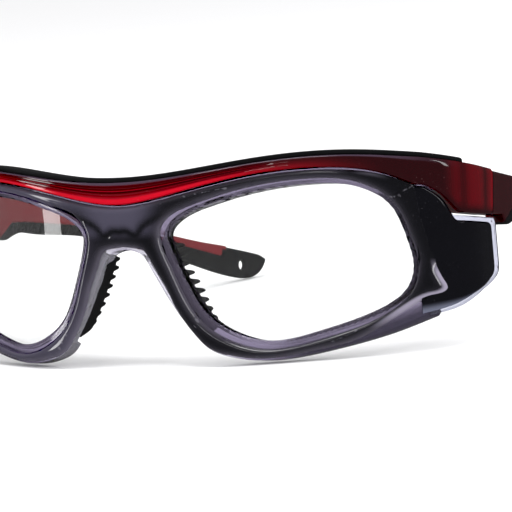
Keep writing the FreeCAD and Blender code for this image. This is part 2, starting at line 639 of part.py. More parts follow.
bind(cord_hole, Radius="$hole_radius", Height=f"{REACH}")
sleeve = boolean("Cut", "sleeve_solid", sleeve_blank, cord_hole)
arm_core = boolean("Cut", "arm_core_solid", core_webbed, fused("arm_cuts", relief, arm_plate))
doc.recompute()

# ---------------------------------------------------------------- laid down on the lens rims and the arm tips
SINGLE = {"front_frame": front_frame, "front_cover": front_cover, "brow_bar": brow_bar, "brow_strip": brow_strip}
PAIRS = {
    "lens": lens,
    "nose_pad": nose_pad,
    "side_shield": shield,
    "side_panel": panel,
    "hinge_front": hinge_front,
    "hinge_arm": hinge_arm,
    "hinge_screw": hinge_screw,
    "arm": arm_core,
    "arm_sleeve": sleeve,
}
FINE = 0.02  # facet tolerance for finding the lowest points


def facet_points(source):
    return source.Shape.tessellate(FINE)[0]


def lowest(points, angle):
    return min(p.z * math.cos(angle) - p.y * math.sin(angle) for p in points)


def resting_angle():
    """The angle about X at which the front's rims and the arm's tip are equally low."""
    front_points = facet_points(front_frame) + facet_points(front_cover)
    tip_points = facet_points(sleeve)
    low, high = 0.0, math.radians(30)
    for halving in range(40):
        angle = (low + high) / 2
        if lowest(tip_points, angle) > lowest(front_points, angle):
            low = angle
        else:
            high = angle
    return angle, lowest(tip_points, angle)


rest_angle, rest_level = resting_angle()
laid_down = Rotation(Vector(1, 0, 0), -math.degrees(rest_angle))
ends = []
for source in (brow_bar, brow_strip, front_cover, sleeve):
    ends += [laid_down.multVec(p).y for p in facet_points(source)]
REST = Placement(Vector(0, -(min(ends) + max(ends)) / 2, -rest_level), laid_down)


def node(label, source):
    """A named piece of the object: the solid made above, in its resting place."""
    made = doc.addObject("Part::Compound", label)
    made.Links = [source]
    made.Placement = REST
    return made


nodes = [node(label, source) for label, source in SINGLE.items()]
for label, source in PAIRS.items():
    left = node(label + "_left", source)
    nodes += [left, mirrored(label + "_right", left)]
doc.recompute()

# ---------------------------------------------------------------- tests, points of interest, and the files
for made in doc.Objects:
    if "Invalid" in made.State or "Error" in made.State:
        raise RuntimeError(f"{made.Name}: {made.State}")
for made in nodes:
    shape = made.Shape
    if shape.isNull() or not shape.isValid() or len(shape.Solids) != 1:
        raise RuntimeError(f"{made.Label}: not one valid solid but {len(shape.Solids)}")
os.makedirs("parts", exist_ok=True)
for made in nodes:
    made.Shape.exportStep(f"parts/{made.Label}.step")
AXIS = Vector(INNER_X - S["hinge_inset"], S["joint_y"], S["hinge_middle"])
print("laid down by degrees", round(math.degrees(rest_angle), 4), "moved by", REST.Base)
print("left hinge centre", REST.multVec(AXIS), "axis", laid_down.multVec(Vector(0, 0, 1)))
print("left cord hole", REST.multVec(HOLE_MIDDLE), "axis", laid_down.multVec(HOLE_AXIS), "thick", HOLE_THICK)
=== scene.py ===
"""Looks of a pair of wrap-round safety spectacles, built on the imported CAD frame.

Shapes are drawn as the spectacles are worn, in metres: X to the wearer's left, Y from the brow back to the ears, Z up,
zero where the lens line crosses the bridge. They are then laid down on the lens rims and arm tips with the frame."""

import json
import math

import bmesh
import bpy
import numpy as np
from mathutils import Matrix, Vector


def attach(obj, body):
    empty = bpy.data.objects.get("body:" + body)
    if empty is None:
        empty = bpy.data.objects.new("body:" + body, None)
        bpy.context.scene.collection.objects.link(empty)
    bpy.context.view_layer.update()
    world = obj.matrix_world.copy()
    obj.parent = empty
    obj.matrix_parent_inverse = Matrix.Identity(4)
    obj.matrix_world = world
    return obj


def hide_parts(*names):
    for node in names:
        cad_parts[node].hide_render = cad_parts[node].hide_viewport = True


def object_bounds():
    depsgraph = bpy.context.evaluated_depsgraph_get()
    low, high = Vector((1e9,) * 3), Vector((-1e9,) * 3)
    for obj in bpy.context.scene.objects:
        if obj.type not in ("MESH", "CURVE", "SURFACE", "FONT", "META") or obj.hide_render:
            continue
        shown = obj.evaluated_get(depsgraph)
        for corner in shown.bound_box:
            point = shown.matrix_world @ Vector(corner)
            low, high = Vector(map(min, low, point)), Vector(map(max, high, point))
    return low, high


bl_info = {
    "name": "Safety spectacles",
    "version": (1, 0, 0),
    "blender": (4, 5, 0),
    "location": "View3D > Sidebar > Spectacles",
    "description": "Builds wrap-round safety spectacles with side shields round their CAD frame",
    "category": "Add Mesh",
}

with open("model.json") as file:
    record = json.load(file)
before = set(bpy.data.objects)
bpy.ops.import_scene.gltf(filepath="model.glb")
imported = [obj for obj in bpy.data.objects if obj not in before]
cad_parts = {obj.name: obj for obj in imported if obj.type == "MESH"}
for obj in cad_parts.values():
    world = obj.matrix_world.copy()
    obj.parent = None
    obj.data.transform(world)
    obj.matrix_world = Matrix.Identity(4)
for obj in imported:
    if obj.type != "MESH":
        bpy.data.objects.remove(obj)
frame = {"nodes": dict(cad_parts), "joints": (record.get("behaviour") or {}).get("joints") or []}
CAD_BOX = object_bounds()
MM = 0.001
HAIR = 0.02 * MM  # keeps faces that would coincide apart
MERGED = 1e-6  # points nearer than this are one
SLIVER = 1e-7  # edges shorter than this go
SIDES = {"left": 1.0, "right": -1.0}


# ---------------------------------------------------------------- sizes and colours
def length(label, text, millimetres):
    """A length, given in millimetres and kept in metres."""
    return bpy.props.FloatProperty(name=label, description=text, default=millimetres * MM, unit="LENGTH", precision=5)


def angle(label, text, degrees):
    """An angle, given in degrees and kept in radians."""
    return bpy.props.FloatProperty(name=label, description=text, default=math.radians(degrees), subtype="ANGLE")


def share(label, text, value):
    """A number from 0 to 1."""
    return bpy.props.FloatProperty(name=label, description=text, default=value, min=0.0, max=1.0, subtype="FACTOR")


def colour(label, text, red, green, blue):
    """A colour in linear light."""
    return bpy.props.FloatVectorProperty(
        name=label, description=text, default=(red, green, blue), min=0.0, max=1.0, subtype="COLOR", size=3
    )


class FrontSizes(bpy.types.PropertyGroup):
    """Sizes of the front, as the CAD source drives them."""

    wrap_radius: length("Wrap radius", "Plan radius of the front", 95.0)
    wrap_angle: angle("Wrap angle", "Half angle over which the front follows that radius", 42.0)
    corner_radius: length("Corner radius", "Plan radius where the front turns back", 14.0)
    face_tilt: angle("Face tilt", "Lean of the front, top forward", 9.2)
    half_bridge: length("Half bridge", "Centre line to the nasal edge of an opening", 11.3)
    opening_width: length("Opening width", "Width of a lens opening", 48.8)
    opening_height: length("Opening height", "Height of a lens opening", 33.4)
    opening_middle: length("Opening middle", "Height of the middle of the opening", -1.9)
    rim_below: length("Rim below", "Rim under the opening", 4.3)
    nose_arch: length("Nose arch", "Height of the top of the nose arch", 1.3)
    bridge_top: length("Bridge top", "Upper edge of the front at the centre", 10.9)
    brow_rise: length("Brow rise", "Rise of that edge to above the lens", 7.2)
    bar_height: length("Bar height", "Red bar at the centre", 4.8)
    bar_end_height: length("Bar end height", "Red bar above the lens", 2.7)
    front_half: length("Front half", "Centre line to the start of the side shield", 62.3)
    base_back: length("Base back", "Clear layer behind the lens line", 2.6)
    base_front: length("Base front", "Clear layer in front of the lens line", 0.8)
    cover_thick: length("Cover", "Dark layer laid on the front", 1.5)
    cover_margin: length("Cover margin", "Clear line left outside the dark layer", 0.4)
    cover_inset: length("Cover inset", "Clear edge left beside the nose, at its widest", 1.35)
    valley_deep: length("Valley", "Depth of the valleys between the rims and the bridge", 0.4)
    lip_narrow: length("Lip, narrow", "Clear lip round the opening, above and at the temple", 1.0)
    lip_wide: length("Lip, wide", "Clear lip round the opening, below and at the nose", 1.9)
    lens_thick: length("Lens", "Thickness of a lens", 1.6)
    lens_seat: length("Lens seat", "How far a lens reaches into its groove", 0.85)
    bar_front: length("Bar front", "Red bar in front of the lens line", 2.4)
    groove_deep: length("Bar grooves", "Depth of the grooves along the middle of the bar", 0.8)
    strip_height: length("Strip height", "Soft strip on top of the bar", 1.2)
    strip_front: length("Strip front", "Soft strip in front of the lens line", 1.7)
    strip_back: length("Strip back", "Soft strip behind the lens line", 4.2)
    strip_end: length("Strip end", "Rear end of the soft strip", 28.5)
    shield_front: length("Shield front", "Side shield outside the lens line", 0.6)
    shield_back: length("Shield back", "Side shield inside the lens line", 1.0)
    panel_thick: length("Panel", "Dark panel laid on the shield", 1.0)
    panel_edge: length("Panel edge", "Clear border behind the dark panel", 3.6)
    shield_end: length("Shield end", "Rear edge of the shield", 41.5)
    shield_top: length("Shield top", "Upper edge of the shield", 8.2)
    block_top: length("Block top", "Top of the end block at the hinge", 18.2)
    block_bottom: length("Block bottom", "Underside of the end block at the hinge", 8.7)


class ArmSizes(bpy.types.PropertyGroup):
    """Sizes of the arms and nose pads."""

    joint_y: length("Joint", "Hinge axis, and the face where front and arm meet", 37.0)
    joint_gap: length("Joint gap", "Gap between the end block and the arm", 0.2)
    hinge_middle: length("Hinge middle", "Height of the middle of the hinge", 13.3)
    arm_end: length("Arm end", "Rear end of the arm", 146.6)
    bend_start: length("Bend start", "Where the arm begins to curve in", 95.0)
    waist_start: length("Waist start", "Where the arm has tapered to its waist", 62.0)
    waist_thick: length("Waist", "Thickness of the arm at its waist", 3.4)
    tip_thick: length("Tip", "Thickness of the arm at its tip", 2.0)
    tip_inset: length("Tip inset", "How far the tip curves in", 5.5)
    tip_bottom: length("Tip bottom", "Lowest point of the arm", 0.9)
    tip_top: length("Tip top", "Upper edge of the arm at the tip", 7.05)
    hole_radius: length("Cord hole", "Radius of the hole for a retaining cord", 1.3)
    hole_back: length("Cord hole back", "From that hole to the arm's end", 7.5)
    hole_up: length("Cord hole up", "From the lowest point of the arm up to that hole", 3.3)
    hole_flare: length("Cord hole flare", "How far the hole's rims are drawn in all round", 0.4)
    rib_pitch: length("Rib pitch", "Rib to rib on the inside of the sleeve", 2.9)
    rib_deep: length("Rib depth", "Depth of those ribs", 0.45)
    pad_splay: angle("Pad splay", "Angle at which the pads open towards the face", 15.0)
    pad_start: length("Pad start", "Front of a nose pad, behind the lens line", 0.5)
    pad_wide: length("Pad width", "Width of a nose pad", 2.9)
    pad_deep: length("Pad depth", "Solid part of a nose pad", 5.9)
    pad_top: length("Pad top", "Height of the upper end of a nose pad", 2.7)
    fin_long: length("Fin length", "Fin of a nose pad", 2.35)
    fin_short: length("Lowest fin", "Lowest fin of a nose pad", 0.7)
    fin_pitch: length("Fin pitch", "Fin to fin", 1.96)
    fin_highest: length("Highest fin", "Height of the middle of the highest fin", 2.0)
    fin_count: bpy.props.IntProperty(name="Fins", description="Fins on a nose pad", default=9, min=1)
    fins_tapering: bpy.props.IntProperty(name="Tapering fins", description="Lowest fins, each shorter", default=3)


class Finishes(bpy.types.PropertyGroup):
    """Colours and gloss."""

    smoke: colour("Smoke", "Dark layer where it is thick", 0.0025, 0.0025, 0.004)
    # Smoke colour of the painted glow at the bridge and of the painted reflection on the wearer's right.
    smoke_thin: colour("Thin smoke", "Dark layer where light comes through it", 0.055, 0.050, 0.075)
    crystal: colour("Crystal", "Clear layer with its violet cast", 0.30, 0.26, 0.38)
    # Colour of the painted glow in the bar.
    red_bright: colour("Bright red", "Bar where light comes through it", 0.52, 0.0015, 0.014)
    red_deep: colour("Deep red", "Bar and arms where they are thick", 0.016, 0.0008, 0.0018)
    red_matt: colour("Matt red", "Inner face of the arms", 0.16, 0.005, 0.010)
    soft_black: colour("Soft black", "Sleeves, strip and nose pads", 0.003, 0.003, 0.0035)
    panel_black: colour("Panel black", "Dark panel on the shield", 0.002, 0.002, 0.003)
    # Colour of the painted highlight along the dark layer's edges.
    edge_light: colour("Edge light", "Edges of the dark layer, where they gather light", 0.34, 0.31, 0.40)
    # Colour of the painted shade along the clear layer's lower margin.
    margin: colour("Margin", "Clear layer's lower margin, where the dark layer shows through", 0.055, 0.048, 0.075)
    # Colour of the painted glow beside the nose.
    flank: colour("Flank", "Clear layer beside the nose, where light comes straight through", 0.80, 0.78, 0.88)
    shield: colour("Shield", "Side shield with its cool cast", 0.66, 0.67, 0.80)
    blue_grey: colour("Panel edge", "Lower edge of the dark panel, where it runs out", 0.17, 0.18, 0.25)
    band: colour("Band", "Grey band along the top of the bar", 0.055, 0.035, 0.055)
    # Colour of the painted reflection along the top of the bar.
    steel: colour("Steel", "Hinges and screws", 0.42, 0.41, 0.40)
    floor: colour("Floor", "Floor and backdrop", 0.93, 0.93, 0.94)
    gloss: share("Gloss", "Roughness of the polished plastic", 0.07)


class StageSizes(bpy.types.PropertyGroup):
    """Where the camera stands, as worn, and how bright the studio is."""

    azimuth: angle("Azimuth", "Camera round towards the wearer's left", 33.369)
    elevation: angle("Elevation", "Camera above the wearer's level", -2.435)
    distance: length("Distance", "Camera from the bridge", 1000.0)
    slide: length("Slide", "Camera moved to its right", 28.196)
    focal: bpy.props.FloatProperty(name="Focal length", description="Camera lens in millimetres", default=323.44)
    floor_half: length("Floor", "Half the side of the floor", 20000.0)
    surroundings: bpy.props.FloatProperty(name="Surroundings", description="Light from all round", default=1.0)
    reflected: bpy.props.FloatProperty(name="Reflected", description="Surroundings as gloss shows them", default=0.1)


def sizes():
    return bpy.context.scene.front_sizes


def arm_sizes():
    return bpy.context.scene.arm_sizes


def finishes():
    return bpy.context.scene.finishes


# ---------------------------------------------------------------- from as worn to as it lies
FOLD = {joint["name"]: joint for joint in frame["joints"]}["arm_left_fold"]
LAID = math.atan2(FOLD["axis"][1], FOLD["axis"][2])  # how far the worn pose is turned about X


def lay_down(points):
    """Turns worn points about X and moves them so that the drawn hinge falls on the frame's own hinge."""
    worn = np.array([FOLD["pos_m"][0], arm_sizes().joint_y, arm_sizes().hinge_middle])
    turn = np.array([[1, 0, 0], [0, math.cos(LAID), math.sin(LAID)], [0, -math.sin(LAID), math.cos(LAID)]])
    return (np.asarray(points) - worn) @ turn.T + np.array(FOLD["pos_m"])


# ---------------------------------------------------------------- curves
def cubic_slopes(knots, values, closed):
    """Slopes of the smooth cubic spline through values at knots: one linear equation for each knot."""
    count = len(knots)
    steps = np.diff(knots)
    rises = np.diff(values, axis=0) / steps[:, None]
    matrix = np.zeros((count, count))
    right = np.zeros((count, values.shape[1]))
    inner = np.arange(1, count - 1)
    matrix[inner, inner - 1] = steps[1:]
    matrix[inner, inner] = 2 * (steps[:-1] + steps[1:])
    matrix[inner, inner + 1] = steps[:-1]
    right[inner] = 3 * (steps[1:, None] * rises[:-1] + steps[:-1, None] * rises[1:])
    if closed:
        matrix[0, [0, 1, -2]] = (2 * (steps[-1] + steps[0]), steps[-1], steps[0])
        right[0] = 3 * (steps[0] * rises[-1] + steps[-1] * rises[0])
        matrix[-1, 0], matrix[-1, -1] = 1, -1
    else:
        matrix[0, :2] = (2, 1)
        matrix[-1, -2:] = (1, 2)
        right[0], right[-1] = 3 * rises[0], 3 * rises[-1]
    return np.linalg.solve(matrix, right)


def smooth_curve(points, count, closed=False):
    """Points spaced evenly along the smooth cubic curve through the given points."""
    points = np.asarray(points, float)
    if closed:
        points = np.vstack([points, points[:1]])
    knots = np.concatenate([[0], np.cumsum(np.linalg.norm(np.diff(points, axis=0), axis=1))])
    slopes = cubic_slopes(knots, points, closed)
    fine = np.linspace(0, knots[-1], 12 * count)
    cell = np.clip(np.searchsorted(knots, fine, side="right") - 1, 0, len(knots) - 2)
    step = (knots[cell + 1] - knots[cell])[:, None]
    t = (fine - knots[cell])[:, None] / step
    curve = (
        (2 * t**3 - 3 * t**2 + 1) * points[cell]
        + (t**3 - 2 * t**2 + t) * step * slopes[cell]
        + (3 * t**2 - 2 * t**3) * points[cell + 1]
        + (t**3 - t**2) * step * slopes[cell + 1]
    )
    return even(curve, count)


def even(curve, count):
    """The same polyline with its points spaced evenly."""
    run = np.concatenate([[0], np.cumsum(np.linalg.norm(np.diff(curve, axis=0), axis=1))])
    wanted = np.linspace(0, run[-1], count)
    return np.stack([np.interp(wanted, run, curve[:, axis]) for axis in range(curve.shape[1])], axis=1)


def height_along(points, places):
    """Height of the smooth curve through (place, height) points, at the given places."""
    curve = smooth_curve(points, 400)
    return np.interp(places, curve[:, 0], curve[:, 1])


def smooth_step(low, high, values):
    """0 at low and 1 at high, with a level start and end between them: three times the square less twice the cube."""
    t = np.clip((values - low) / (high - low), 0, 1)
    return t * t * (3 - 2 * t)


def dome(distance, radius):
    """Quarter round: 0 at the edge with an upright tangent, 1 from one radius inwards."""
    t = np.clip(distance / radius, 0, 1)
    return np.sqrt(np.clip(1 - (1 - t) ** 2, 0, 1))


def bell(distance, width):
    """1 at zero, falling off on both sides as a bell curve."""
    return np.exp(-((distance / width) ** 2))


def distance_to(points, curve, block=2000):
    """Distance from each point to the nearest point of a densely drawn curve, a block of points at a time."""
    nearest = np.empty(len(points))
    for start in range(0, len(points), block):
        part = points[start : start + block]
        nearest[start : start + block] = np.sqrt(((part[:, None] - curve[None]) ** 2).sum(2)).min(1)
    return nearest


# ---------------------------------------------------------------- the wrap of the front
def wrap_plan():
    """Turn angle, its run along the lens line, the corner's centre, and the run where the straight begins."""
    s = sizes()
    turn = s.wrap_angle
    first = s.wrap_radius * turn
    centre = (s.wrap_radius - s.corner_radius) * np.array([math.sin(turn), -math.cos(turn)]) + [0, s.wrap_radius]
    return turn, first, centre, first + s.corner_radius * (math.pi / 2 - turn)


def wrap_at_x(x, z, w):
    """Point of the wall at front-view place x, height z and offset w outwards from the lens line."""
    s = sizes()
    turn, _, centre, _ = wrap_plan()
    across = np.abs(x)
    radius = s.wrap_radius + w
    on_front = s.wrap_radius - np.sqrt(np.clip(radius**2 - across**2, 0, None))
    corner = s.corner_radius + w
    on_corner = centre[1] - np.sqrt(np.clip(corner**2 - (across - centre[0]) ** 2, 0, None))
    y = np.where(across <= radius * math.sin(turn), on_front, on_corner)
    return np.stack(np.broadcast_arrays(x, y - z * math.tan(s.face_tilt), z), axis=-1)


def wrap_at_run(run, z, w):
    """Point at a run along the lens line from the centre: front arc, corner arc, then straight back."""
    s = sizes()
    turn, first, centre, last = wrap_plan()
    side, run = np.sign(run), np.abs(run)
    front = run / s.wrap_radius
    bend = turn + (np.minimum(run, last) - first) / s.corner_radius
    x = np.where(
        run <= first,
        (s.wrap_radius + w) * np.sin(front),
        centre[0] + (s.corner_radius + w) * np.sin(bend),
    )
    y = np.where(
        run <= first,
        s.wrap_radius - (s.wrap_radius + w) * np.cos(front),
        centre[1] - (s.corner_radius + w) * np.cos(bend) + np.clip(run - last, 0, None),
    )
    return np.stack(np.broadcast_arrays(side * x, y - z * math.tan(s.face_tilt), z), axis=-1)


def run_at_y(y, z):
    """Run along the lens line at which the straight part reaches y at height z."""
    _, _, centre, last = wrap_plan()
    return last + y - centre[1] + z * math.tan(sizes().face_tilt)


# ---------------------------------------------------------------- outlines seen from the front, right half
def opening_floor():
    """Height of the lowest point of an opening."""
    return sizes().opening_middle - sizes().opening_height / 2


def rim_bottom():
    """Height of the lowest point of the rim."""
    return opening_floor() - sizes().rim_below


# Outlines as shares: of the opening's width and height, of the front's half width and the brow's rise, and of the
# front's half width and the climb of the bar's top.
OPENING = [
    (0.0, 0.70), (0.05, 0.78), (0.18, 0.862), (0.42, 0.955), (0.66, 1.0), (0.82, 0.98),
    (0.925, 0.885), (0.985, 0.65), (1.0, 0.47), (0.965, 0.32), (0.86, 0.195), (0.64, 0.065),
    (0.43, 0.0), (0.28, 0.05), (0.16, 0.165), (0.068, 0.39), (0.01, 0.59),
]
BROW = [(-0.12, 0.1), (0.0, 0.0), (0.12, 0.1), (0.28, 0.39), (0.5, 0.79), (0.68, 0.98), (0.81, 0.99), (0.92, 0.82)]
BROW += [(1.0, 0.5)]
BAR = [(-0.16, 0.09), (0.0, 0.0), (0.16, 0.09), (0.33, 0.35), (0.5, 0.67), (0.67, 0.92), (0.84, 1.0), (1.0, 0.9)]


def opening_curve(count, grow=0.0):
    """The lens opening, from its nasal edge over the top and round, grown outwards by a margin."""
    s = sizes()
    floor = opening_floor()
    points = [(s.half_bridge + a * s.opening_width, floor + b * s.opening_height) for a, b in OPENING]
    curve = smooth_curve(points, count + 1, closed=True)[:-1]
    return curve + grow * outward_normals(curve)


def outward_normals(curve):
    """Unit normals of a closed clockwise polyline, on its left as it is followed."""
    along = np.roll(curve, -1, 0) - np.roll(curve, 1, 0)
    normal = np.stack([-along[:, 1], along[:, 0]], axis=1)
    return normal / np.linalg.norm(normal, axis=1, keepdims=True)


def brow_points():
    s = sizes()
    return [(way * s.front_half, s.bridge_top + rise * s.brow_rise) for way, rise in BROW]


def brow_curve(count):
    """Upper edge of the front, from the centre line to the split."""
    curve = smooth_curve(brow_points(), 2 * count)
    return even(curve[curve[:, 0] >= 0], count)


def bar_top_height(x):
    """Top of the red bar above front-view place x, up to the split."""
    s = sizes()
    low = s.bridge_top + s.bar_height
    high = s.bridge_top + s.brow_rise + s.bar_end_height
    points = [(way * s.front_half, low + climb * (high - low)) for way, climb in BAR]
    return height_along(points, np.minimum(np.abs(x), s.front_half))


def brow_height(x):
    """Upper edge of the front at front-view place x, up to the split."""
    return height_along(brow_points(), np.minimum(np.abs(x), sizes().front_half))


def nose_points():
    """Down the side of the nose from the arch, with the mirrored first point before it."""
    s = sizes()
    rim = rim_bottom()
    half, arch = s.half_bridge, s.nose_arch
    down = [(0.21, 0.35), (0.38, 1.2), (0.49, 2.8), (0.575, 4.6), (0.78, 8.7), (0.965, 12.2)]
    points = [(-0.21 * half, arch - 0.35 * MM), (0.0, arch)] + [(w * half, arch - fall * MM) for w, fall in down]
    return points + [(w * half, rim + rise * MM) for w, rise in ((1.16, 8.8), (1.39, 5.55), (1.63, 2.7))]


def under_points():
    """Along the underside of the rim, from below the lens to the split."""
    s = sizes()
    rim, split = rim_bottom(), s.front_half
    ways = [(0.25, 0.7), (0.37, 0.0), (0.5, 0.5), (0.64, 2.0), (0.77, 3.8), (0.9, 6.1)]
    points = [(s.half_bridge + way * s.opening_width, rim + rise * MM) for way, rise in ways]
    return points + [(split, rim + 9.6 * MM)]


def frame_outline(count):
    """Outer edge of the clear layer: nose and underside from the arch to the split, and the brow back to the
    centre."""
    lower = smooth_curve(nose_points() + under_points(), 2 * count)
    lower = even(lower[lower[:, 0] >= 0], count)
    lower[0, 0] = 0.0
    upper = brow_curve(count)[::-1]
    upper[-1, 0] = 0.0
    return lower, upper


def cover_outline(count):
    """Outer edge of the dark layer. It keeps off the nose, leaves the rim, turns at a round corner on the side shield
    and climbs to the brow."""
    s = sizes()
    rim, split = rim_bottom(), s.front_half
    ridge = [(-1.9, 11.6), (1.2, 13.4), (3.1, 14.3), (3.9, 15.4), (3.55, 17.1), (2.8, 19.4), (2.2, 21.9)]
    ridge += [(0.95, 28.5), (0.0, 37.4)]
    ridge = [(split + out * MM, rim + rise * MM) for out, rise in ridge]
    lower = smooth_curve(nose_points() + under_points()[:5] + ridge, 2 * count)
    lower = even(lower[lower[:, 0] >= 0], count + count // 3)
    beside = np.interp(lower[:, 1], [-16 * MM, -11.5 * MM, -8 * MM, 0.0, s.nose_arch], [0.2, 0.5, 1.0, 1.0, 0.45])
    margin = np.where(lower[:, 0] < 2 * s.half_bridge, beside * s.cover_inset, s.cover_margin)
    margin *= smooth_step(split + 4.5 * MM, split, lower[:, 0])
    upper = brow_curve(count)[::-1]
    low_in = inset(lower, np.maximum(margin, 0)[:, None])
    up_in = inset(upper, s.cover_margin)
    low_in[0, 0] = 0.0
    up_in[-1, 0] = 0.0
    return low_in, up_in


def inset(curve, margin):
    """An open polyline moved to its left as it is followed."""
    along = np.gradient(curve, axis=0)
    normal = np.stack([-along[:, 1], along[:, 0]], axis=1)
    return curve + margin * normal / np.linalg.norm(normal, axis=1, keepdims=True)


# ---------------------------------------------------------------- meshes
def new_mesh(name, points, faces):
    mesh = bpy.data.meshes.new(name)
    mesh.from_pydata(points.tolist(), [], faces if isinstance(faces, list) else faces.tolist())
    return mesh


def turn_outwards(mesh, merge=False):
    """Turns all faces outwards, after points that coincide are merged if asked."""
    tidy = bmesh.new()
    tidy.from_mesh(mesh)
    if merge:
        bmesh.ops.remove_doubles(tidy, verts=tidy.verts, dist=MERGED)
        bmesh.ops.dissolve_degenerate(tidy, edges=tidy.edges, dist=SLIVER)
    bmesh.ops.recalc_face_normals(tidy, faces=tidy.faces)
    tidy.to_mesh(mesh)
    tidy.free()


def new_object(name, data):
    made = bpy.data.objects.new(name, data)
    bpy.context.scene.collection.objects.link(made)
    return made


def add_piece(name, points, faces, body, material, replaced, attributes=None, sharp=40.0):
    """Puts worn points and faces into a new object that rides on a body and stands for a CAD node."""
    mesh = new_mesh(name, lay_down(points), faces)
    for label, values in (attributes or {}).items():
        mesh.attributes.new(label, "FLOAT", "POINT").data.foreach_set("value", np.asarray(values, np.float32))
    turn_outwards(mesh, merge=True)
    mesh.polygons.foreach_set("use_smooth", [True] * len(mesh.polygons))
    mesh.set_sharp_from_angle(angle=math.radians(sharp))
    mesh.materials.append(material)
    piece = new_object(name, mesh)
    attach(piece, body)
    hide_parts(replaced)
    return piece


def grid_faces(rows, columns, closed=False):
    """Quads of a grid of rows by columns; with closed, each row's last point joins its first."""
    wide = columns if closed else columns - 1
    r, c = np.meshgrid(np.arange(rows - 1), np.arange(wide), indexing="ij")
    low, after = r * columns, (c + 1) % columns
    high = low + columns
    return np.stack([low + c, low + after, high + after, high + c], axis=-1).reshape(-1, 4)


def closed_plate(front, back, cyclic=False):
    """A solid between two grids of the same shape: both faces and the walls round their edges.
    With cyclic, the rows close on themselves, and only the first and last columns have walls."""
    rows, columns = front.shape[:2]
    points = np.vstack([front.reshape(-1, 3), back.reshape(-1, 3)])
    number = np.arange(rows * columns).reshape(rows, columns)
    if cyclic:
        number = np.vstack([number, number[:1]])
    offset = rows * columns
    top = [number[:-1, :-1], number[:-1, 1:], number[1:, 1:], number[1:, :-1]]
    top = np.stack(top, -1).reshape(-1, 4)
    faces = [top, top[:, ::-1] + offset]
    edges = [number[:, 0], number[:, -1]]
    if not cyclic:
        edges += [number[0], number[-1]]
    for edge in edges:
        faces.append(np.stack([edge[:-1], edge[1:], edge[1:] + offset, edge[:-1] + offset], -1))
    return points, np.vstack(faces)


def closed_tube(rings):
    """Rings of points joined into a tube, each end closed by a fan round its middle."""
    count, around = rings.shape[:2]
    points = np.vstack([rings.reshape(-1, 3), rings[0].mean(0)[None], rings[-1].mean(0)[None]])
    turn = np.arange(around)
    after = (turn + 1) % around
    last, hub = (count - 1) * around, np.full(around, count * around)
    fans = np.stack([np.stack([after, turn, hub], -1), np.stack([last + turn, last + after, hub + 1], -1)], 1)
    return points, grid_faces(count, around, closed=True).tolist() + fans.reshape(-1, 3).tolist()


def both_halves(points, faces, *values):
    """A left half and its mirror image; faces in the middle plane are left out, so that the halves join."""
    middle = (np.abs(points[faces][:, :, 0]) < 1e-7).all(axis=1)
    faces = faces[~middle]
    mirror = points * [-1, 1, 1]
    faces = np.vstack([faces, faces[:, ::-1] + len(points)])
    return np.vstack([points, mirror]), faces, *(np.concatenate([each, each]) for each in values)


def rounded_corners(half_wide, half_high, radius, steps):
    """The four arcs of a round-cornered rectangle about zero, as (across, up) points. The sizes may be columns."""
    arcs = []
    for quarter, (across, up) in enumerate(((1, 1), (-1, 1), (-1, -1), (1, -1))):
        turn = np.linspace(0, math.pi / 2, steps) + quarter * math.pi / 2
        wide = across * (half_wide - radius) + radius * np.cos(turn)
        arcs.append(np.stack([wide, up * (half_high - radius) + radius * np.sin(turn)], -1))
    return arcs


# ---------------------------------------------------------------- the rings of the front
# Distances from an edge at which the rows of a ring lie.
EDGE_ROWS = np.array([0.0, 0.06, 0.16, 0.3, 0.48, 0.7, 0.95, 1.25, 1.6, 2.0]) * MM


def ring_grid(lower, upper, inner, middle_rows=7):
    """Front-view grid of half a front, between the edge of an opening and the outer edge.
    Columns are rays from the middle of the opening through the outer edge's points; rows crowd towards both edges."""
    s = sizes()
    split_side = np.linspace(lower[-1], upper[0], 60)[1:-1]
    centre_side = np.linspace(upper[-1], lower[0], 48)[1:-1]
    outer = np.vstack([lower, split_side, upper, centre_side])
    middle = np.array([s.half_bridge + s.opening_width / 2, s.opening_middle])
    ray = outer - middle
    reach = np.linalg.norm(ray, axis=1)
    turn = np.arctan2(ray[:, 1], ray[:, 0])
    spoke = inner - middle
    spoke_turn = np.arctan2(spoke[:, 1], spoke[:, 0])
    order = np.argsort(spoke_turn)
    near = np.interp(turn, spoke_turn[order], np.linalg.norm(spoke, axis=1)[order], period=2 * math.pi)
    wall = (reach - near)[:, None]
    crowd = np.minimum(EDGE_ROWS[None], wall * 0.42)
    between = np.linspace(0, 1, middle_rows + 2)[None, 1:-1]
    middle_part = crowd[:, -1:] + between * (wall - 2 * crowd[:, -1:])
    rows = np.hstack([crowd, middle_part, (wall - crowd)[:, ::-1]])
    distance = near[:, None] + rows
    return middle + distance[..., None] * (ray / reach[:, None])[:, None, :], np.vstack([lower, upper])


def lip_width(curve):
    """Lip round an opening: narrow above and at the temple, wide below and at the nose."""
    s = sizes()
    up = (curve[:, 1] - s.opening_middle) / s.opening_height
    out = (curve[:, 0] - s.half_bridge) / s.opening_width
    wide = smooth_step(0.35, -0.35, up) * smooth_step(1.15, 0.75, out)
    wide = np.maximum(wide, 0.6 * smooth_step(0.15, 0.0, out))
    return s.lip_narrow + (s.lip_wide - s.lip_narrow) * wide


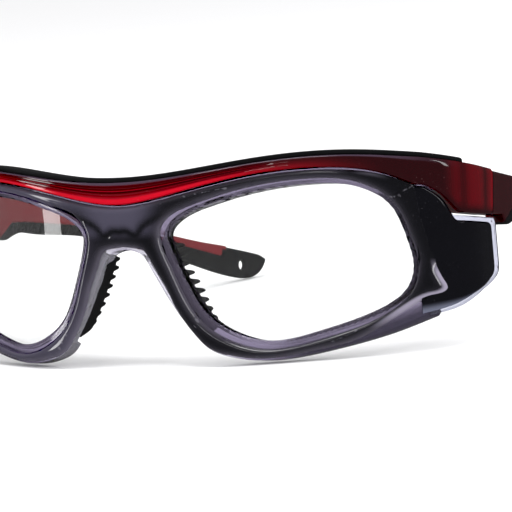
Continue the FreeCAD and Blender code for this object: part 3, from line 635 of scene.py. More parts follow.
def build_clear_layer():
    """The clear layer: a ring with rounded edges. Beside the nose its back is let in for the pads: there it ends at
    the pads' front."""
    s, a = sizes(), arm_sizes()
    lower, upper = frame_outline(260)
    inner = opening_curve(700)
    grid, edges = ring_grid(lower, upper, inner)
    flat = grid.reshape(-1, 2)
    outside = distance_to(flat, even(edges[: len(lower)], 1500))
    outside = np.minimum(outside, distance_to(flat, even(edges[len(lower) :], 1200)))
    opening = distance_to(flat, inner)
    round_front = 0.6 * MM
    fall = 0.55 * MM
    w_front = s.base_front - fall * (2 - dome(outside, round_front) - dome(opening, round_front))
    w_back = -s.base_back + fall * (2 - dome(outside, round_front) - dome(opening, round_front))
    w_front -= 1.5 * HAIR
    to_pad = distance_to(flat, beside_nose(300, a.pad_wide / 2)[:, [0, 2]])
    let_in = smooth_step(0.62 * a.pad_wide, 0.5 * a.pad_wide, to_pad)
    w_back += let_in * (-a.pad_start + 5 * HAIR - w_back)
    front = wrap_at_x(flat[:, 0], flat[:, 1], w_front).reshape(*grid.shape[:2], 3)
    back = wrap_at_x(flat[:, 0], flat[:, 1], w_back).reshape(*grid.shape[:2], 3)
    points, faces = closed_plate(front, back, cyclic=True)
    out = flat[:, 0] / s.half_bridge
    # Painted glow beside the nose, where light comes straight through the clear layer.
    light = smooth_step(2.1 * MM, 1.2 * MM, outside) * smooth_step(2.6, 1.6, out)
    light *= smooth_step(s.nose_arch + 1.5 * MM, s.nose_arch, flat[:, 1])
    # Painted shade along the lower margin, away from the nose and below the middle of the opening.
    deep = smooth_step(3.2 * MM, 2.2 * MM, outside) * smooth_step(2.4, 3.6, out)
    deep *= smooth_step(s.opening_middle, s.opening_middle - 6 * MM, flat[:, 1])
    points, faces, light, deep = both_halves(points, faces, np.tile(light, 2), np.tile(deep, 2))
    add_piece(
        "front_clear_layer", points, faces, "front", crystal_plastic(), "front_frame",
        {"light": light, "deep": deep},
    )


def build_dark_layer():
    """The dark layer: a pillow on the clear layer. Its height follows the distance from its edges as a quarter round,
    and towards the side shield it slopes off slowly, except along the pointed corner."""
    s = sizes()
    lower, upper = cover_outline(260)
    inner = opening_curve(700)
    inner = inner + outward_normals(inner) * lip_width(inner)[:, None]
    grid, edges = ring_grid(lower, upper, inner)
    flat = grid.reshape(-1, 2)
    outside = distance_to(flat, even(edges[: len(lower)], 1800))
    outside = np.minimum(outside, distance_to(flat, even(edges[len(lower) :], 1200)))
    opening = distance_to(flat, inner)
    rim, split = rim_bottom(), s.front_half
    flush = smooth_step(rim + 18 * MM, rim + 22 * MM, flat[:, 1])
    flush *= smooth_step(split - 14 * MM, split - 4 * MM, flat[:, 0])
    low_edge = (s.shield_front + s.panel_thick + 2.5 * HAIR - s.base_front) / s.cover_thick
    slope_off = low_edge + (1 - low_edge) * smooth_step(0, 9 * MM, outside)
    rise = (dome(outside, 1.5 * MM) * (1 - flush) + slope_off * flush) * dome(opening, 1.7 * MM)
    valley = bell(distance_to(flat, valley_curve(600)), 1.0 * MM)
    w_front = s.base_front + s.cover_thick * rise - s.valley_deep * valley
    front = wrap_at_x(flat[:, 0], flat[:, 1], w_front).reshape(*grid.shape[:2], 3)
    back = wrap_at_x(flat[:, 0], flat[:, 1], s.base_front - HAIR).reshape(*grid.shape[:2], 3)
    points, faces = closed_plate(front, back, cyclic=True)
    # Painted highlight: the dark layer is painted lighter along its edges, and most along the pointed corner ridge.
    ridge = (1 - flush) * smooth_step(split - 12 * MM, split - 3 * MM, flat[:, 0])
    edge = 0.3 * np.exp(-np.minimum(outside + 3 * MM * flush, opening) / (0.45 * MM))
    edge = np.maximum(edge, ridge * smooth_step(1.0 * MM, 0.45 * MM, outside))
    points, faces, edge, valley = both_halves(points, faces, np.tile(edge, 2), np.tile(valley, 2))
    # Its last attribute carries painted light: a painted glow at the bridge and a painted reflection on the wearer's
    # right, less in the valleys.
    add_piece(
        "front_dark_layer", points, faces, "front", smoked_plastic(), "front_cover",
        {"edge": edge, "painted_glow_and_reflection": bridge_light(points) * (1 - valley)},
    )


def valley_curve(count):
    """The valley between a rim and the bridge, seen from the front: from the arch outwards to over the lens."""
    s = sizes()
    points = [(0.0, 3.75), (0.2, 3.7), (0.36, 2.9), (0.48, 4.1), (0.72, 5.9), (1.13, 7.6), (1.36, 8.4), (1.6, 9.3)]
    return smooth_curve([(way * s.half_bridge, s.nose_arch + rise * MM) for way, rise in points], count)


def bridge_light(points):
    """How much painted light the dark layer gets: a painted glow in the middle of the bridge, where light comes
    through, and a painted reflection on the wearer's right."""
    x, z = points[:, 0], points[:, 2]
    # Painted glow in the middle of the bridge, where light comes through.
    bridge = np.exp(-((x / (9 * MM)) ** 4)) * smooth_step(3 * MM, 6 * MM, z)
    # Painted reflection on the wearer's right.
    right = 0.75 * smooth_step(-3 * MM, -18 * MM, x)
    return np.clip(bridge + right, 0, 1)


# ---------------------------------------------------------------- nose pads
def beside_nose(count, across):
    """The pad's line beside the nose moved outwards by a distance, in the plane that leans with the face."""
    s, a = sizes(), arm_sizes()
    points = [(0.455 * s.half_bridge, a.pad_top), (0.46 * s.half_bridge, (a.pad_top + s.nose_arch - 2.8 * MM) / 2)]
    curve = smooth_curve(points + nose_points()[4:10], count)
    x, z = curve[:, 0] + across, curve[:, 1] + 0.3 * across
    slope = 0.75 * s.half_bridge / s.wrap_radius
    return np.stack([x, x * slope - z * math.tan(s.face_tilt), z], axis=1)


def backward():
    """Direction in which a pad runs back to the nose."""
    splay = arm_sizes().pad_splay
    return np.array([math.sin(splay), math.cos(splay), 0])


# One fin from its top down: share of the pitch, and share of the fin's length.
FIN = np.array([
    (0.0, 0.0), (0.02, 0.25), (0.04, 0.6), (0.07, 0.82), (0.12, 0.95), (0.18, 1.0), (0.25, 1.0), (0.32, 0.95),
    (0.39, 0.82), (0.48, 0.55), (0.57, 0.25), (0.64, 0.05), (0.69, 0.0),
])


def fin_profile():
    """Heights down a pad and a fin's reach there: the fin's outline once for each pitch, the lowest ones shorter."""
    a = arm_sizes()
    order = np.arange(a.fin_count)
    late = np.clip(order + 1 + a.fins_tapering - a.fin_count, 0, None) / a.fins_tapering
    long = a.fin_long - (a.fin_long - a.fin_short) * late
    down = ((FIN[None, :, 0] + order[:, None]) * a.fin_pitch).reshape(-1)
    depth = (long[:, None] * FIN[None, :, 1]).reshape(-1)
    return a.fin_highest + 0.33 * a.fin_pitch - down, depth


def build_nose_pads():
    """Soft pads let into the front beside the nose: for each height of the fin profile and of the tail below it, which
    fades out, a row across the pad whose rear edge is crowned as a fourth-power ellipse."""
    a = arm_sizes()
    line = beside_nose(400, a.pad_wide / 2)
    across = beside_nose(400, a.pad_wide) - beside_nose(400, 0.0)
    across /= np.linalg.norm(across, axis=1, keepdims=True)
    height, fin = fin_profile()
    tail = np.linspace(height[-1] - 0.3 * MM, line[-1, 2], 16)
    fade = a.pad_deep * (1 - 0.72 * np.linspace(0, 1, 16) ** 1.6)
    height = np.concatenate([[line[0, 2]], height, tail])
    body = np.concatenate([[0.9 * a.pad_deep], a.pad_deep + fin, fade])
    place, across = (
        np.stack([np.interp(-height, -line[:, 2], values[:, axis]) for axis in range(3)], axis=1)
        for values in (line, across)
    )
    steps = np.sin(np.linspace(-math.pi / 2, math.pi / 2, 17))
    crown = np.clip(1 - np.abs(steps) ** 4, 0, 1) ** 0.5
    start = place + backward() * (a.pad_start + 2.5 * HAIR)
    spread = start[:, None] + across[:, None] * (steps * (a.pad_wide / 2 - 1.5 * HAIR))[None, :, None]
    pull = np.minimum(0.9 * MM, 0.35 * body)[:, None] * (1 - crown)[None]
    rear = spread + backward() * (body[:, None] - pull)[..., None]
    middle = [spread + part * (rear - spread) for part in (0.3, 0.62)]
    ring = [spread, middle[0][:, -1:], middle[1][:, -1:], rear[:, ::-1], middle[1][:, :1], middle[0][:, :1]]
    ring = np.concatenate(ring, axis=1)
    for label, side in SIDES.items():
        points, faces = closed_tube(ring * [side, 1, 1])
        add_piece(
            f"soft_nose_pad_{label}", points, faces, "front", soft_plastic(), f"nose_pad_{label}",
            sharp=70.0,
        )


# ---------------------------------------------------------------- bar and strip along the brow
def split_run():
    """Run along the lens line at which the side shield starts."""
    s = sizes()
    return s.wrap_radius * math.asin(s.front_half / s.wrap_radius)


def block_underside(run):
    """Height of the lower edge of the bar by run: the brow's edge, then down behind the corner to the flat."""
    s = sizes()
    front = brow_height(wrap_at_run(run, 0.0, s.bar_front)[..., 0])
    start = split_run()
    end = s.bridge_top + 0.5 * s.brow_rise
    points = [(start - 3 * MM, brow_height(np.array([s.front_half - 2.4 * MM]))[0]), (start, end)]
    points += [(start + 2.9 * MM, end - 1.7 * MM), (start + 5.2 * MM, end - 4.1 * MM)]
    points += [(start + 7.0 * MM, s.block_bottom + 0.15 * MM), (start + 8.2 * MM, s.block_bottom)]
    points += [(start + 20 * MM, s.block_bottom)]
    side = height_along(points, np.abs(run))
    return np.where(np.abs(run) < start, front, side)


def block_upperside(run):
    """Height of the top of the bar by run: over the lens, then falling to the hinge."""
    s = sizes()
    x = wrap_at_run(run, 0.0, 0.0)[..., 0]
    start = split_run()
    end = run_at_y(arm_sizes().joint_y, s.block_top)
    at_split = bar_top_height(np.array([s.front_half]))[0]
    side = np.interp(np.abs(run), [start, start + 3 * MM, end], [at_split, at_split - 0.3 * MM, s.block_top])
    return np.where(np.abs(run) < start, bar_top_height(x), side)


def bar_runs(count):
    """Even steps of -1 to 1 and the run for each, before the end's slant."""
    a = arm_sizes()
    reach = run_at_y(a.joint_y - a.joint_gap / 2, 0.0)
    steps = np.linspace(-1, 1, count)
    return steps, steps * reach


# Face of the bar over the nose, from its lower edge up: share of the height, and depth in depths of a groove.
BAR_FACE = np.array([
    (0.0, -0.55), (0.02, -0.25), (0.06, -0.08), (0.13, 0.0), (0.22, 0.0), (0.30, -0.1), (0.36, -0.45),
    (0.41, -0.95), (0.48, -1.0), (0.545, -0.75), (0.585, -0.35), (0.615, -0.32), (0.65, -0.6), (0.70, -1.0),
    (0.76, -1.0), (0.81, -0.7), (0.85, -0.4), (0.90, -0.4), (0.95, -0.55), (1.0, -0.8),
])
# The same over the lenses, where the grooves have faded out.
PLAIN_FACE = ([0, 0.03, 0.1, 0.88, 0.96, 1.0], [-0.55, -0.2, 0.0, 0.0, -0.2, -0.6])
# Back of the bar, from its top down: share of the height, and place against the lens line, -2.6 being the rear face.
BAR_BACK = np.array([
    (1.0, -0.4), (1.0, -1.4), (1.0, -2.2), (0.96, -2.6), (0.7, -2.6), (0.4, -2.6), (0.1, -2.6), (0.03, -2.5),
    (0.0, -2.2), (0.0, -1.2), (0.0, -0.2), (0.0, 0.9),
])
# Painted glow, for light through the face over the nose and over the lenses: share of the height, and painted light.
NOSE_GLOW = (
    [0, 0.03, 0.13, 0.25, 0.31, 0.37, 0.47, 0.52, 0.58, 0.615, 0.65, 0.75, 0.86, 1.0],
    [0.3, 0.85, 1.0, 0.9, 0.2, 0.42, 0.36, 0.02, 0.02, 0.55, 0.1, 0.13, 0.1, 0.1],
)
LENS_GLOW = ([0, 0.15, 0.45, 0.7, 1.0], [0.6, 0.7, 0.35, 0.12, 0.08])
# Painted glow on the back of the bar.
BACK_GLOW = 0.1


def build_bar():
    """The red bar: a closed section carried along the brow and round the corners to the hinges.
    Over the nose its face has a bead, two grooves and two narrow ridges, which fade out over the lenses."""
    s = sizes()
    steps, run = bar_runs(361)
    plain = np.interp(BAR_FACE[:, 0], *PLAIN_FACE)
    grooved = 1 - smooth_step(20 * MM, 46 * MM, np.abs(run))
    depth = plain[None] + grooved[:, None] * (BAR_FACE[:, 1] - plain)[None]
    w_face = s.bar_front + depth * s.groove_deep
    w_back = s.base_back * BAR_BACK[:, 1] / -BAR_BACK[:, 1].min()
    up = np.concatenate([BAR_FACE[:, 0], BAR_BACK[:, 0]])
    low = block_underside(run)[:, None]
    high = block_upperside(run)[:, None]
    z = low + (high - low) * up[None]
    w = np.hstack([w_face, np.tile(w_back, (len(run), 1))])
    slant = np.sign(steps)[:, None] * np.abs(steps[:, None]) ** 12 * z * math.tan(s.face_tilt)
    rings = wrap_at_run(run[:, None] + slant, z, w)
    points, faces = closed_tube(rings)
    share_up = BAR_FACE[None, :, 0]
    # Painted glow through the bar, with painted shade in its grooves, fading out towards each side, and painted light
    # and shade at each end block.
    glow_face, glow_plain = (np.interp(share_up, *glow) for glow in (NOSE_GLOW, LENS_GLOW))
    glow_side = np.where(run > 0, smooth_step(62 * MM, 12 * MM, run), smooth_step(90 * MM, 30 * MM, -run))
    glow = (glow_face * grooved[:, None] + glow_plain * (1 - grooved[:, None])) * glow_side[:, None]
    glow += hinge_glow(run[-1] - np.abs(run))[:, None] * smooth_step(0.05, 0.2, share_up)
    # Painted reflection: a grey band along the top of the bar over the nose and lenses.
    violet = smooth_step(0.86, 0.91, share_up) * smooth_step(76 * MM, 56 * MM, np.abs(run))[:, None]
    behind = np.ones((len(run), len(BAR_BACK)))
    glow = np.append(np.hstack([glow, BACK_GLOW * behind]), [0, 0])
    violet = np.append(np.hstack([violet, 0 * behind]), [0, 0])
    add_piece(
        "brow_bar_red", points, faces, "front", red_plastic(), "brow_bar",
        {"glow": glow, "violet": violet},
    )


def hinge_glow(ahead):
    """Painted light through the end block by distance ahead of the joint: a painted bright line at the joint, then
    painted shade in bands where the hinge plate's edges stop the light."""
    plate = 1 - 0.85 * bell(ahead - 2.4 * MM, 0.8 * MM) - 0.75 * bell(ahead - 8 * MM, 1.1 * MM)
    return 0.13 * smooth_step(12 * MM, 8 * MM, ahead) * plate + 0.14 * bell(ahead, 0.5 * MM)


def build_strip():
    """The soft strip on the bar: a flat rounded section along the brow, drawn in to a round nose at each end."""
    s = sizes()
    turn, first, centre, _ = wrap_plan()
    top = s.block_top + 3 * MM
    cosine = (centre[1] - s.strip_end - top * math.tan(s.face_tilt)) / s.corner_radius
    reach = first + s.corner_radius * (math.acos(cosine) - turn)
    t = np.sin(np.linspace(-math.pi / 2, math.pi / 2, 241))
    run = t * reach
    section = np.vstack(rounded_corners(0.5, 0.5, 0.24, steps=6))
    end = dome(reach - np.abs(run), 2.2 * MM)[:, None]
    middle = (s.strip_front - s.strip_back) / 2
    half = (s.strip_front + s.strip_back) * (0.25 + 0.75 * end)
    w = middle + section[None, :, 0] * half * (0.02 + 0.98 * end)
    base = block_upperside(run)[:, None]
    tall = s.strip_height * (0.35 + 0.65 * end)
    z = base + HAIR + tall * (section[None, :, 1] + 0.5) * (0.05 + 0.95 * end)
    rings = wrap_at_run(run[:, None], z, w)
    points, faces = closed_tube(rings)
    add_piece("brow_strip_soft", points, faces, "front", soft_plastic(), "brow_strip")


# ---------------------------------------------------------------- side shields
# Lower edge of a shield: millimetres behind its start, and millimetres above the bottom of the rim.
SHIELD_LOW = [(0.0, 9.6), (7.0, 11.6), (13.0, 14.6), (17.5, 16.6), (24.0, 18.4)]


def shield_grid(rear, top, low, start_in, hug=1.0):
    """Grid of a shield by run and height: rows follow the height, columns the run, and the rear corners are round.
    Hug is how closely it follows the slanted underside of the end block."""
    s = sizes()
    rim = rim_bottom()
    start = split_run() - start_in
    up = 0.5 - 0.5 * np.cos(np.linspace(0, math.pi, 61))
    lower_corner = (dome(up, 0.26) + dome(up, 0.14)) / 2
    upper_corner = dome(1 - up, 0.09)
    pull = (1 - lower_corner) * 6.0 * MM + (1 - upper_corner) * 1.2 * MM
    end = run_at_y(s.shield_end - rear, s.shield_top) - pull
    run = start + up[None, :] * (end[:, None] - start)
    roof = block_underside(run) - 0.25 * MM
    ceiling = np.minimum(roof, s.shield_top - top + hug * np.clip(roof - s.block_bottom, 0, None))
    ground = [(start + ahead * MM, rim + rise * MM) for ahead, rise in SHIELD_LOW]
    ground = height_along(ground, run) + low
    z = ground + up[:, None] * (ceiling - ground)
    return run, z


def build_shields():
    """Clear shells with round rims, and the dark panels on them."""
    s = sizes()
    for label, side in SIDES.items():
        run, z = shield_grid(0.0, 0.0, 0.0, 0.6 * MM)
        fall = 0.5 * MM * (1 - dome(edge_of(run, z), 0.6 * MM))
        outer = wrap_at_run(side * run, z, s.shield_front - fall)
        inner = wrap_at_run(side * run, z, -s.shield_back + fall)
        points, faces = closed_plate(outer, inner)
        add_piece(
            f"shield_clear_{label}", points, faces, "front", shield_plastic(),
            f"side_shield_{label}",
        )
        run, z = shield_grid(s.panel_edge, 1.1 * MM, 0.35 * MM, 2.2 * MM, hug=1.7)
        rise = dome(edge_of(run, z), 0.7 * MM)
        outer = wrap_at_run(side * run, z, s.shield_front + s.panel_thick * (0.15 + 0.85 * rise))
        inner = wrap_at_run(side * run, z, s.shield_front - HAIR)
        points, faces = closed_plate(outer, inner)
        above = (z - z[:1]).reshape(-1)
        fade = 0.8 * smooth_step(2.0 * MM, 0.0, np.tile(above, 2))
        add_piece(
            f"shield_panel_{label}", points, faces, "front", panel_plastic(),
            f"side_panel_{label}", {"fade": fade},
        )


def edge_of(run, z):
    """Distance of each point of a grid from the grid's own border, apart from its first column."""
    flat = np.stack([run, z], -1)
    border = np.vstack([flat[0], flat[:, -1], flat[-1][::-1]])
    return distance_to(flat.reshape(-1, 2), even(border, 1400)).reshape(flat.shape[:2])


# ---------------------------------------------------------------- lenses
def build_lenses():
    """Lenses: the opening's outline shrunk towards its middle in rings, on the lens line and one thickness
    behind."""
    s = sizes()
    edge = opening_curve(240, s.lens_seat)
    middle = np.array([s.half_bridge + s.opening_width / 2, s.opening_middle])
    share_out = np.linspace(0, 1, 26)
    flat = middle + share_out[None, :, None] * (edge - middle)[:, None]
    for label, side in SIDES.items():
        x, z = side * flat[..., 0], flat[..., 1]
        front = wrap_at_x(x, z, -HAIR)
        back = wrap_at_x(x, z, HAIR - s.lens_thick)
        points, faces = closed_plate(front, back, cyclic=True)
        add_piece(f"lens_clear_{label}", points, faces, "front", lens_glass(), f"lens_{label}")


# ---------------------------------------------------------------- arms
# Side view of an arm: share of its length, and share of the fall of its top or of its underside.
ARM_TOP = [
    (0.1, 0.06), (0.3, 0.21), (0.48, 0.42), (0.68, 0.67), (0.79, 0.785), (0.927, 0.93), (0.981, 1.0), (1.0, 1.03),
]
ARM_UNDER = [
    (0.0447, 0.0), (0.0575, 0.17), (0.107, 0.07), (0.195, -0.03), (0.35, -0.06), (0.575, 0.24), (0.76, 0.59),
    (0.9, 0.955), (0.938, 1.0), (1.0, 1.0),
]
ARM_STRIPE = [
    (0.094, -0.295), (0.13, -0.335), (0.2, -0.35), (0.31, -0.355), (0.5, -0.22), (0.7, 0.02), (0.9, 0.42),
]
HEEL, HEEL_LOW, SLEEVE_START, STRIPE_START = 0.0447, 0.0545, 0.0575, 0.094  # shares of the arm's length
CORE_END, RIBS_END, ROUND_START = 0.8585, 0.46, 0.9


def arm_outlines():
    """Side-view outlines of an arm as heights by share of its length: top, underside, and the core's lower edge."""
    s, a = sizes(), arm_sizes()
    fall = s.block_bottom - a.tip_bottom
    drop = s.block_top - a.tip_top
    start = a.joint_gap / 2 / (a.arm_end - a.joint_y)
    return (
        [(w, s.block_top - v * drop) for w, v in [(start, 0.0)] + ARM_TOP],
        [(w, s.block_bottom - v * fall) for w, v in ARM_UNDER],
        [(w, s.block_bottom - v * fall) for w, v in ARM_STRIPE],
    )


def stripe_height(stripe, t):
    """Lower edge of the red by share of the arm: flat under the hinge, down and up again round the sleeve's slanted
    front, then the long run."""
    s, a = sizes(), arm_sizes()
    fall = s.block_bottom - a.tip_bottom
    heights = s.block_bottom - fall * np.array([0.0, 0.185, -0.295])
    front = np.interp(t, [HEEL, HEEL_LOW, STRIPE_START], heights)
    return np.where(t < STRIPE_START, front, height_along(stripe, np.maximum(t, STRIPE_START)))


def arm_walls(y):
    """Inner and outer X of the left arm at y: straight, then curving in; the thickness tapers to the waist and tip."""
    s, a = sizes(), arm_sizes()
    centre = wrap_plan()[2]
    inner = centre[0] + s.corner_radius - s.base_back
    bent = np.clip((y - a.bend_start) / (a.arm_end - a.bend_start), 0, None)
    inner = inner - a.tip_inset * bent**2
    root = a.joint_y + a.joint_gap / 2
    thick = np.interp(
        y, [root, a.waist_start, a.bend_start, a.arm_end],
        [s.base_back + s.bar_front, a.waist_thick, a.waist_thick, a.tip_thick],
    )
    return inner, inner + thick


def arm_rings(y, low, high, round_part, proud=0.0):
    """Rings across the arm: rounded rectangles between low and high, as wide as the arm is thick there."""
    inner, outer = arm_walls(y)
    half_high = ((high - low) / 2)[:, None]
    half_wide = ((outer - inner) / 2 + proud)[:, None]
    arcs = rounded_corners(half_wide, half_high, np.minimum(half_high, half_wide) * round_part, steps=6)
    between = np.linspace(0, 1, 14)[None, 1:-1, None]
    rings = []
    for arc, after in zip(arcs, arcs[1:] + arcs[:1]):
        rings += [arc, arc[:, -1:] + between * (after[:, :1] - arc[:, -1:])]
    section = np.concatenate(rings, axis=1)
    x = ((inner + outer) / 2)[:, None] + section[..., 0]
    z = ((low + high) / 2)[:, None] + section[..., 1]
    return np.stack([x, np.broadcast_to(y[:, None], x.shape), z], -1)


def build_arms():
    """Red arm cores under soft black sleeves. Both are rings carried along the arm; the sleeve's tip is drawn in to a
    round end, its inner face is ribbed near the hinge, and the cord hole is cut through it."""
    a = arm_sizes()
    top, under, stripe = arm_outlines()
    size = a.arm_end - a.joint_y
    for label, side in SIDES.items():
        build_core(label, side, top, stripe, size)
        build_sleeve(label, side, top, under, stripe, size)


def build_core(label, side, top, stripe, size):
    """The red core: full height at the hinge, then a stripe along the top of the arm that ends in a slant."""
    a = arm_sizes()
    t = np.concatenate([
        np.linspace(0.0009, HEEL, 16)[:-1], np.linspace(HEEL, HEEL_LOW, 8)[:-1],
        np.linspace(HEEL_LOW, 0.1, 16)[:-1], np.linspace(0.1, 0.856, 150),
    ])
    y = a.joint_y + t * size
    low = stripe_height(stripe, t)
    high = height_along(top, t) - HAIR
    end = dome(CORE_END - t, 0.006)
    middle = (low + high) / 2
    low = middle - (middle - low) * (0.3 + 0.7 * end)
    high = middle + (high - middle) * (0.3 + 0.7 * end)
    rings = arm_rings(y, low, high, 0.3, proud=3 * HAIR) * [side, 1, 1]
    rings[..., 1] += 1.18 * smooth_step(0.78, 0.85, t)[:, None] * (rings[..., 2] - low[:, None])
    points, faces = closed_tube(rings)
    inner, outer = arm_walls(points[:, 1])
    matt = smooth_step(0.55, 0.35, (side * points[:, 0] - inner) / (outer - inner))
    add_piece(
        f"arm_red_{label}", points, faces, f"arm_{label}", arm_red_plastic(), f"arm_{label}",
        {"matt": matt}, sharp=50.0,
    )


def build_sleeve(label, side, top, under, stripe, size):
    """The soft sleeve: from its slanted front, under the core, to the full height of the arm at the tip."""
    a = arm_sizes()
    t = np.concatenate([
        np.linspace(SLEEVE_START, 0.095, 20)[:-1], np.linspace(0.095, RIBS_END, 330)[:-1],
        np.linspace(RIBS_END, 0.84, 60)[:-1], np.linspace(0.84, ROUND_START, 30)[:-1],
        ROUND_START + (1 - ROUND_START) * np.sin(np.linspace(0, math.pi / 2, 50)),
    ])
    y = a.joint_y + t * size
    low = height_along(under, t)
    full = height_along(top, t) - 0.5 * MM * smooth_step(0.885, 0.876, t)
    tucked = np.maximum(stripe_height(stripe, np.minimum(t, 0.857)) + 0.4 * MM, low + 0.15 * MM)
    high = tucked + (full - tucked) * smooth_step(0.857, 0.862, t)
    tip_middle = a.tip_bottom + 5.0 * MM
    reach = 1 - t
    high = np.where(t > ROUND_START, tip_middle + (high - tip_middle) * dome(reach, 0.024), high)
    low = np.where(t > ROUND_START, tip_middle - (tip_middle - low) * dome(reach, 0.062), low)
    rings = arm_rings(y, low, high, 0.55)
    depth = rings[..., 0] - arm_walls(y)[0][:, None]
    place = (rings[..., 1] - 0.55 * (rings[..., 2] - rings[..., 2].mean(1, keepdims=True))) / a.rib_pitch
    wave = (0.5 - 0.5 * np.cos(2 * math.pi * place)) ** 0.6
    ribbed = smooth_step(0.095, 0.11, t) * smooth_step(RIBS_END, 0.42, t)
    ribs = ribbed[:, None] * (depth < 0.35 * MM) * wave
    rings[..., 0] += ribs * a.rib_deep
    points, faces = closed_tube(rings * [side, 1, 1])
    # The rib attribute carries the depth of the grooves, where the soft material paints shade.
    piece = add_piece(
        f"arm_sleeve_soft_{label}", points, faces, f"arm_{label}", soft_plastic(),
        f"arm_sleeve_{label}", {"rib": np.append(ribs, [0, 0])}, sharp=50.0,
    )
    cut_cord_hole(piece, side)


def cut_cord_hole(piece, side):
    """Cuts the cord hole square to the curved tip, wider at both rims, with a 48-sided rod that is then removed."""
    a = arm_sizes()
    y = a.arm_end - a.hole_back
    inner, outer = arm_walls(np.array([y]))
    bent = (y - a.bend_start) / (a.arm_end - a.bend_start)
    slope = 2 * a.tip_inset * bent / (a.arm_end - a.bend_start)
    across = np.array([1.0, slope, 0.0]) / math.hypot(1.0, slope)
    middle = np.array([(inner[0] + outer[0]) / 2, y, a.tip_bottom + a.hole_up])
    turn = np.linspace(0, 2 * math.pi, 48, endpoint=False)
    beside = np.array([-across[1], across[0], 0.0])
    ring = np.cos(turn)[:, None] * beside + np.sin(turn)[:, None] * np.array([0, 0, 1.0])
    deep = (outer[0] - inner[0]) / 2
    profile = [(6 * MM, a.hole_flare), (deep, a.hole_flare), (deep - a.hole_flare, 0.0)]
    profile = [(-reach, wider) for reach, wider in profile] + profile[::-1]
    cuts = [middle + ring * (a.hole_radius + wider) + across * reach for reach, wider in profile]
    points, faces = closed_tube(np.stack(cuts) * [side, 1, 1])
    mesh = new_mesh("cord_hole_rod", lay_down(points), faces)
    turn_outwards(mesh)
    rod = new_object("cord_hole_rod", mesh)
    cut = piece.modifiers.new("cord_hole", "BOOLEAN")
    cut.operation = "DIFFERENCE"
    cut.solver = "EXACT"
    cut.object = rod
    graph = bpy.context.evaluated_depsgraph_get()
    finished = bpy.data.meshes.new_from_object(piece.evaluated_get(graph))
    piece.modifiers.clear()
    piece.data = finished
    finished.set_sharp_from_angle(angle=math.radians(50.0))
    bpy.data.objects.remove(rod)


# ---------------------------------------------------------------- shader groups
def new_group(name, inputs, outputs):
    """An empty shader node group with its float inputs (with defaults) and its outputs."""
    group = bpy.data.node_groups.new(name, "ShaderNodeTree")
    for label, value in inputs:
        socket = group.interface.new_socket(name=label, in_out="INPUT", socket_type="NodeSocketFloat")
        socket.default_value = value
    for label in outputs:
        group.interface.new_socket(name=label, in_out="OUTPUT", socket_type="NodeSocketFloat")
    return group, Nodes(group)


class Nodes:
    """Short ways to add nodes to a tree and join them up."""

    def __init__(self, tree):
        self.tree = tree

    def add(self, kind, inputs=None, **settings):
        node = self.tree.nodes.new(kind)
        for label, value in settings.items():
            setattr(node, label, value)
        for label, value in (inputs or {}).items():
            self.feed(value, node.inputs[label])
        return node

    def feed(self, value, socket):
        if isinstance(value, bpy.types.NodeSocket):
            self.tree.links.new(value, socket)
        else:
            socket.default_value = value

    def math(self, operation, first, second=0.0, clamp=False):
        node = self.add("ShaderNodeMath", {0: first, 1: second}, operation=operation, use_clamp=clamp)
        return node.outputs[0]

    def mix(self, mask, first, second):
        """First where the mask is 0, second where it is 1. Either may be a plain colour of three numbers."""
        colours = [(*value, 1.0) if isinstance(value, tuple) else value for value in (first, second)]
        return self.add("ShaderNodeMix", {0: mask, 6: colours[0], 7: colours[1]}, data_type="RGBA").outputs[2]

    def mottled(self, skin, value, other):
        """A colour that drifts slowly towards a multiple of itself."""
        return self.mix(skin["Mottle"], tuple(value), tuple(other * part for part in value))

    def ramp(self, value, low, high):
        node = self.add("ShaderNodeMapRange", {0: value, 1: low, 2: high, 3: 0.0, 4: 1.0}, clamp=True)
        node.interpolation_type = "SMOOTHSTEP"
        return node.outputs[0]

    def noise(self, place, scale, detail=3.0, roughness=0.5):
        inputs = {"Vector": place, "Scale": scale, "Detail": detail, "Roughness": roughness}
        return self.add("ShaderNodeTexNoise", inputs).outputs[0]

    def place(self):
        return self.add("ShaderNodeTexCoord").outputs["Object"]

    def attribute(self, name):
        return self.add("ShaderNodeAttribute", attribute_name=name).outputs["Fac"]

    def skin(self, grains, grain, wave, roughness, spread):
        """The moulded skin: grains a metre, heights of grain and wave, roughness and its spread."""
        inputs = {"Grains a metre": grains, "Grain height": grain, "Wave height": wave}
        inputs |= {"Roughness": roughness, "Roughness spread": spread}
        return self.add("ShaderNodeGroup", inputs, node_tree=moulded_surface()).outputs

    def marks(self, dust, scuffs):
        return self.add("ShaderNodeGroup", {"Dust": dust, "Scuffs": scuffs}, node_tree=handling_marks()).outputs

    def rubbed(self, amount, sharpness):
        inputs = {"Amount": amount, "Sharpness": sharpness}
        return self.add("ShaderNodeGroup", inputs, node_tree=edge_wear()).outputs["Wear"]

    def finish(self, shader, colour, roughness, height=None, deep=0.00002):
        """Joins the surface up to its shader: colour, roughness, and relief of a depth in metres."""
        self.feed(colour, shader["Base Color"])
        self.feed(roughness, shader["Roughness"])
        if height is not None:
            relief = self.add("ShaderNodeBump", {"Height": height, "Strength": 1.0, "Distance": deep})
            self.feed(relief.outputs["Normal"], shader["Normal"])

    def scuffed(self, roughness, marks, more):
        """Roughness with more of it, or less if negative, where there are scuffs."""
        return self.math("ADD", roughness, self.math("MULTIPLY", marks["Scuffs"], more))


def once(kind):
    """Makes a builder of materials or node groups build its own the first time, and give the same one afterwards."""

    def wrap(build):
        def find():
            return getattr(bpy.data, kind).get(build.__name__) or build(build.__name__)

        return find

    return wrap


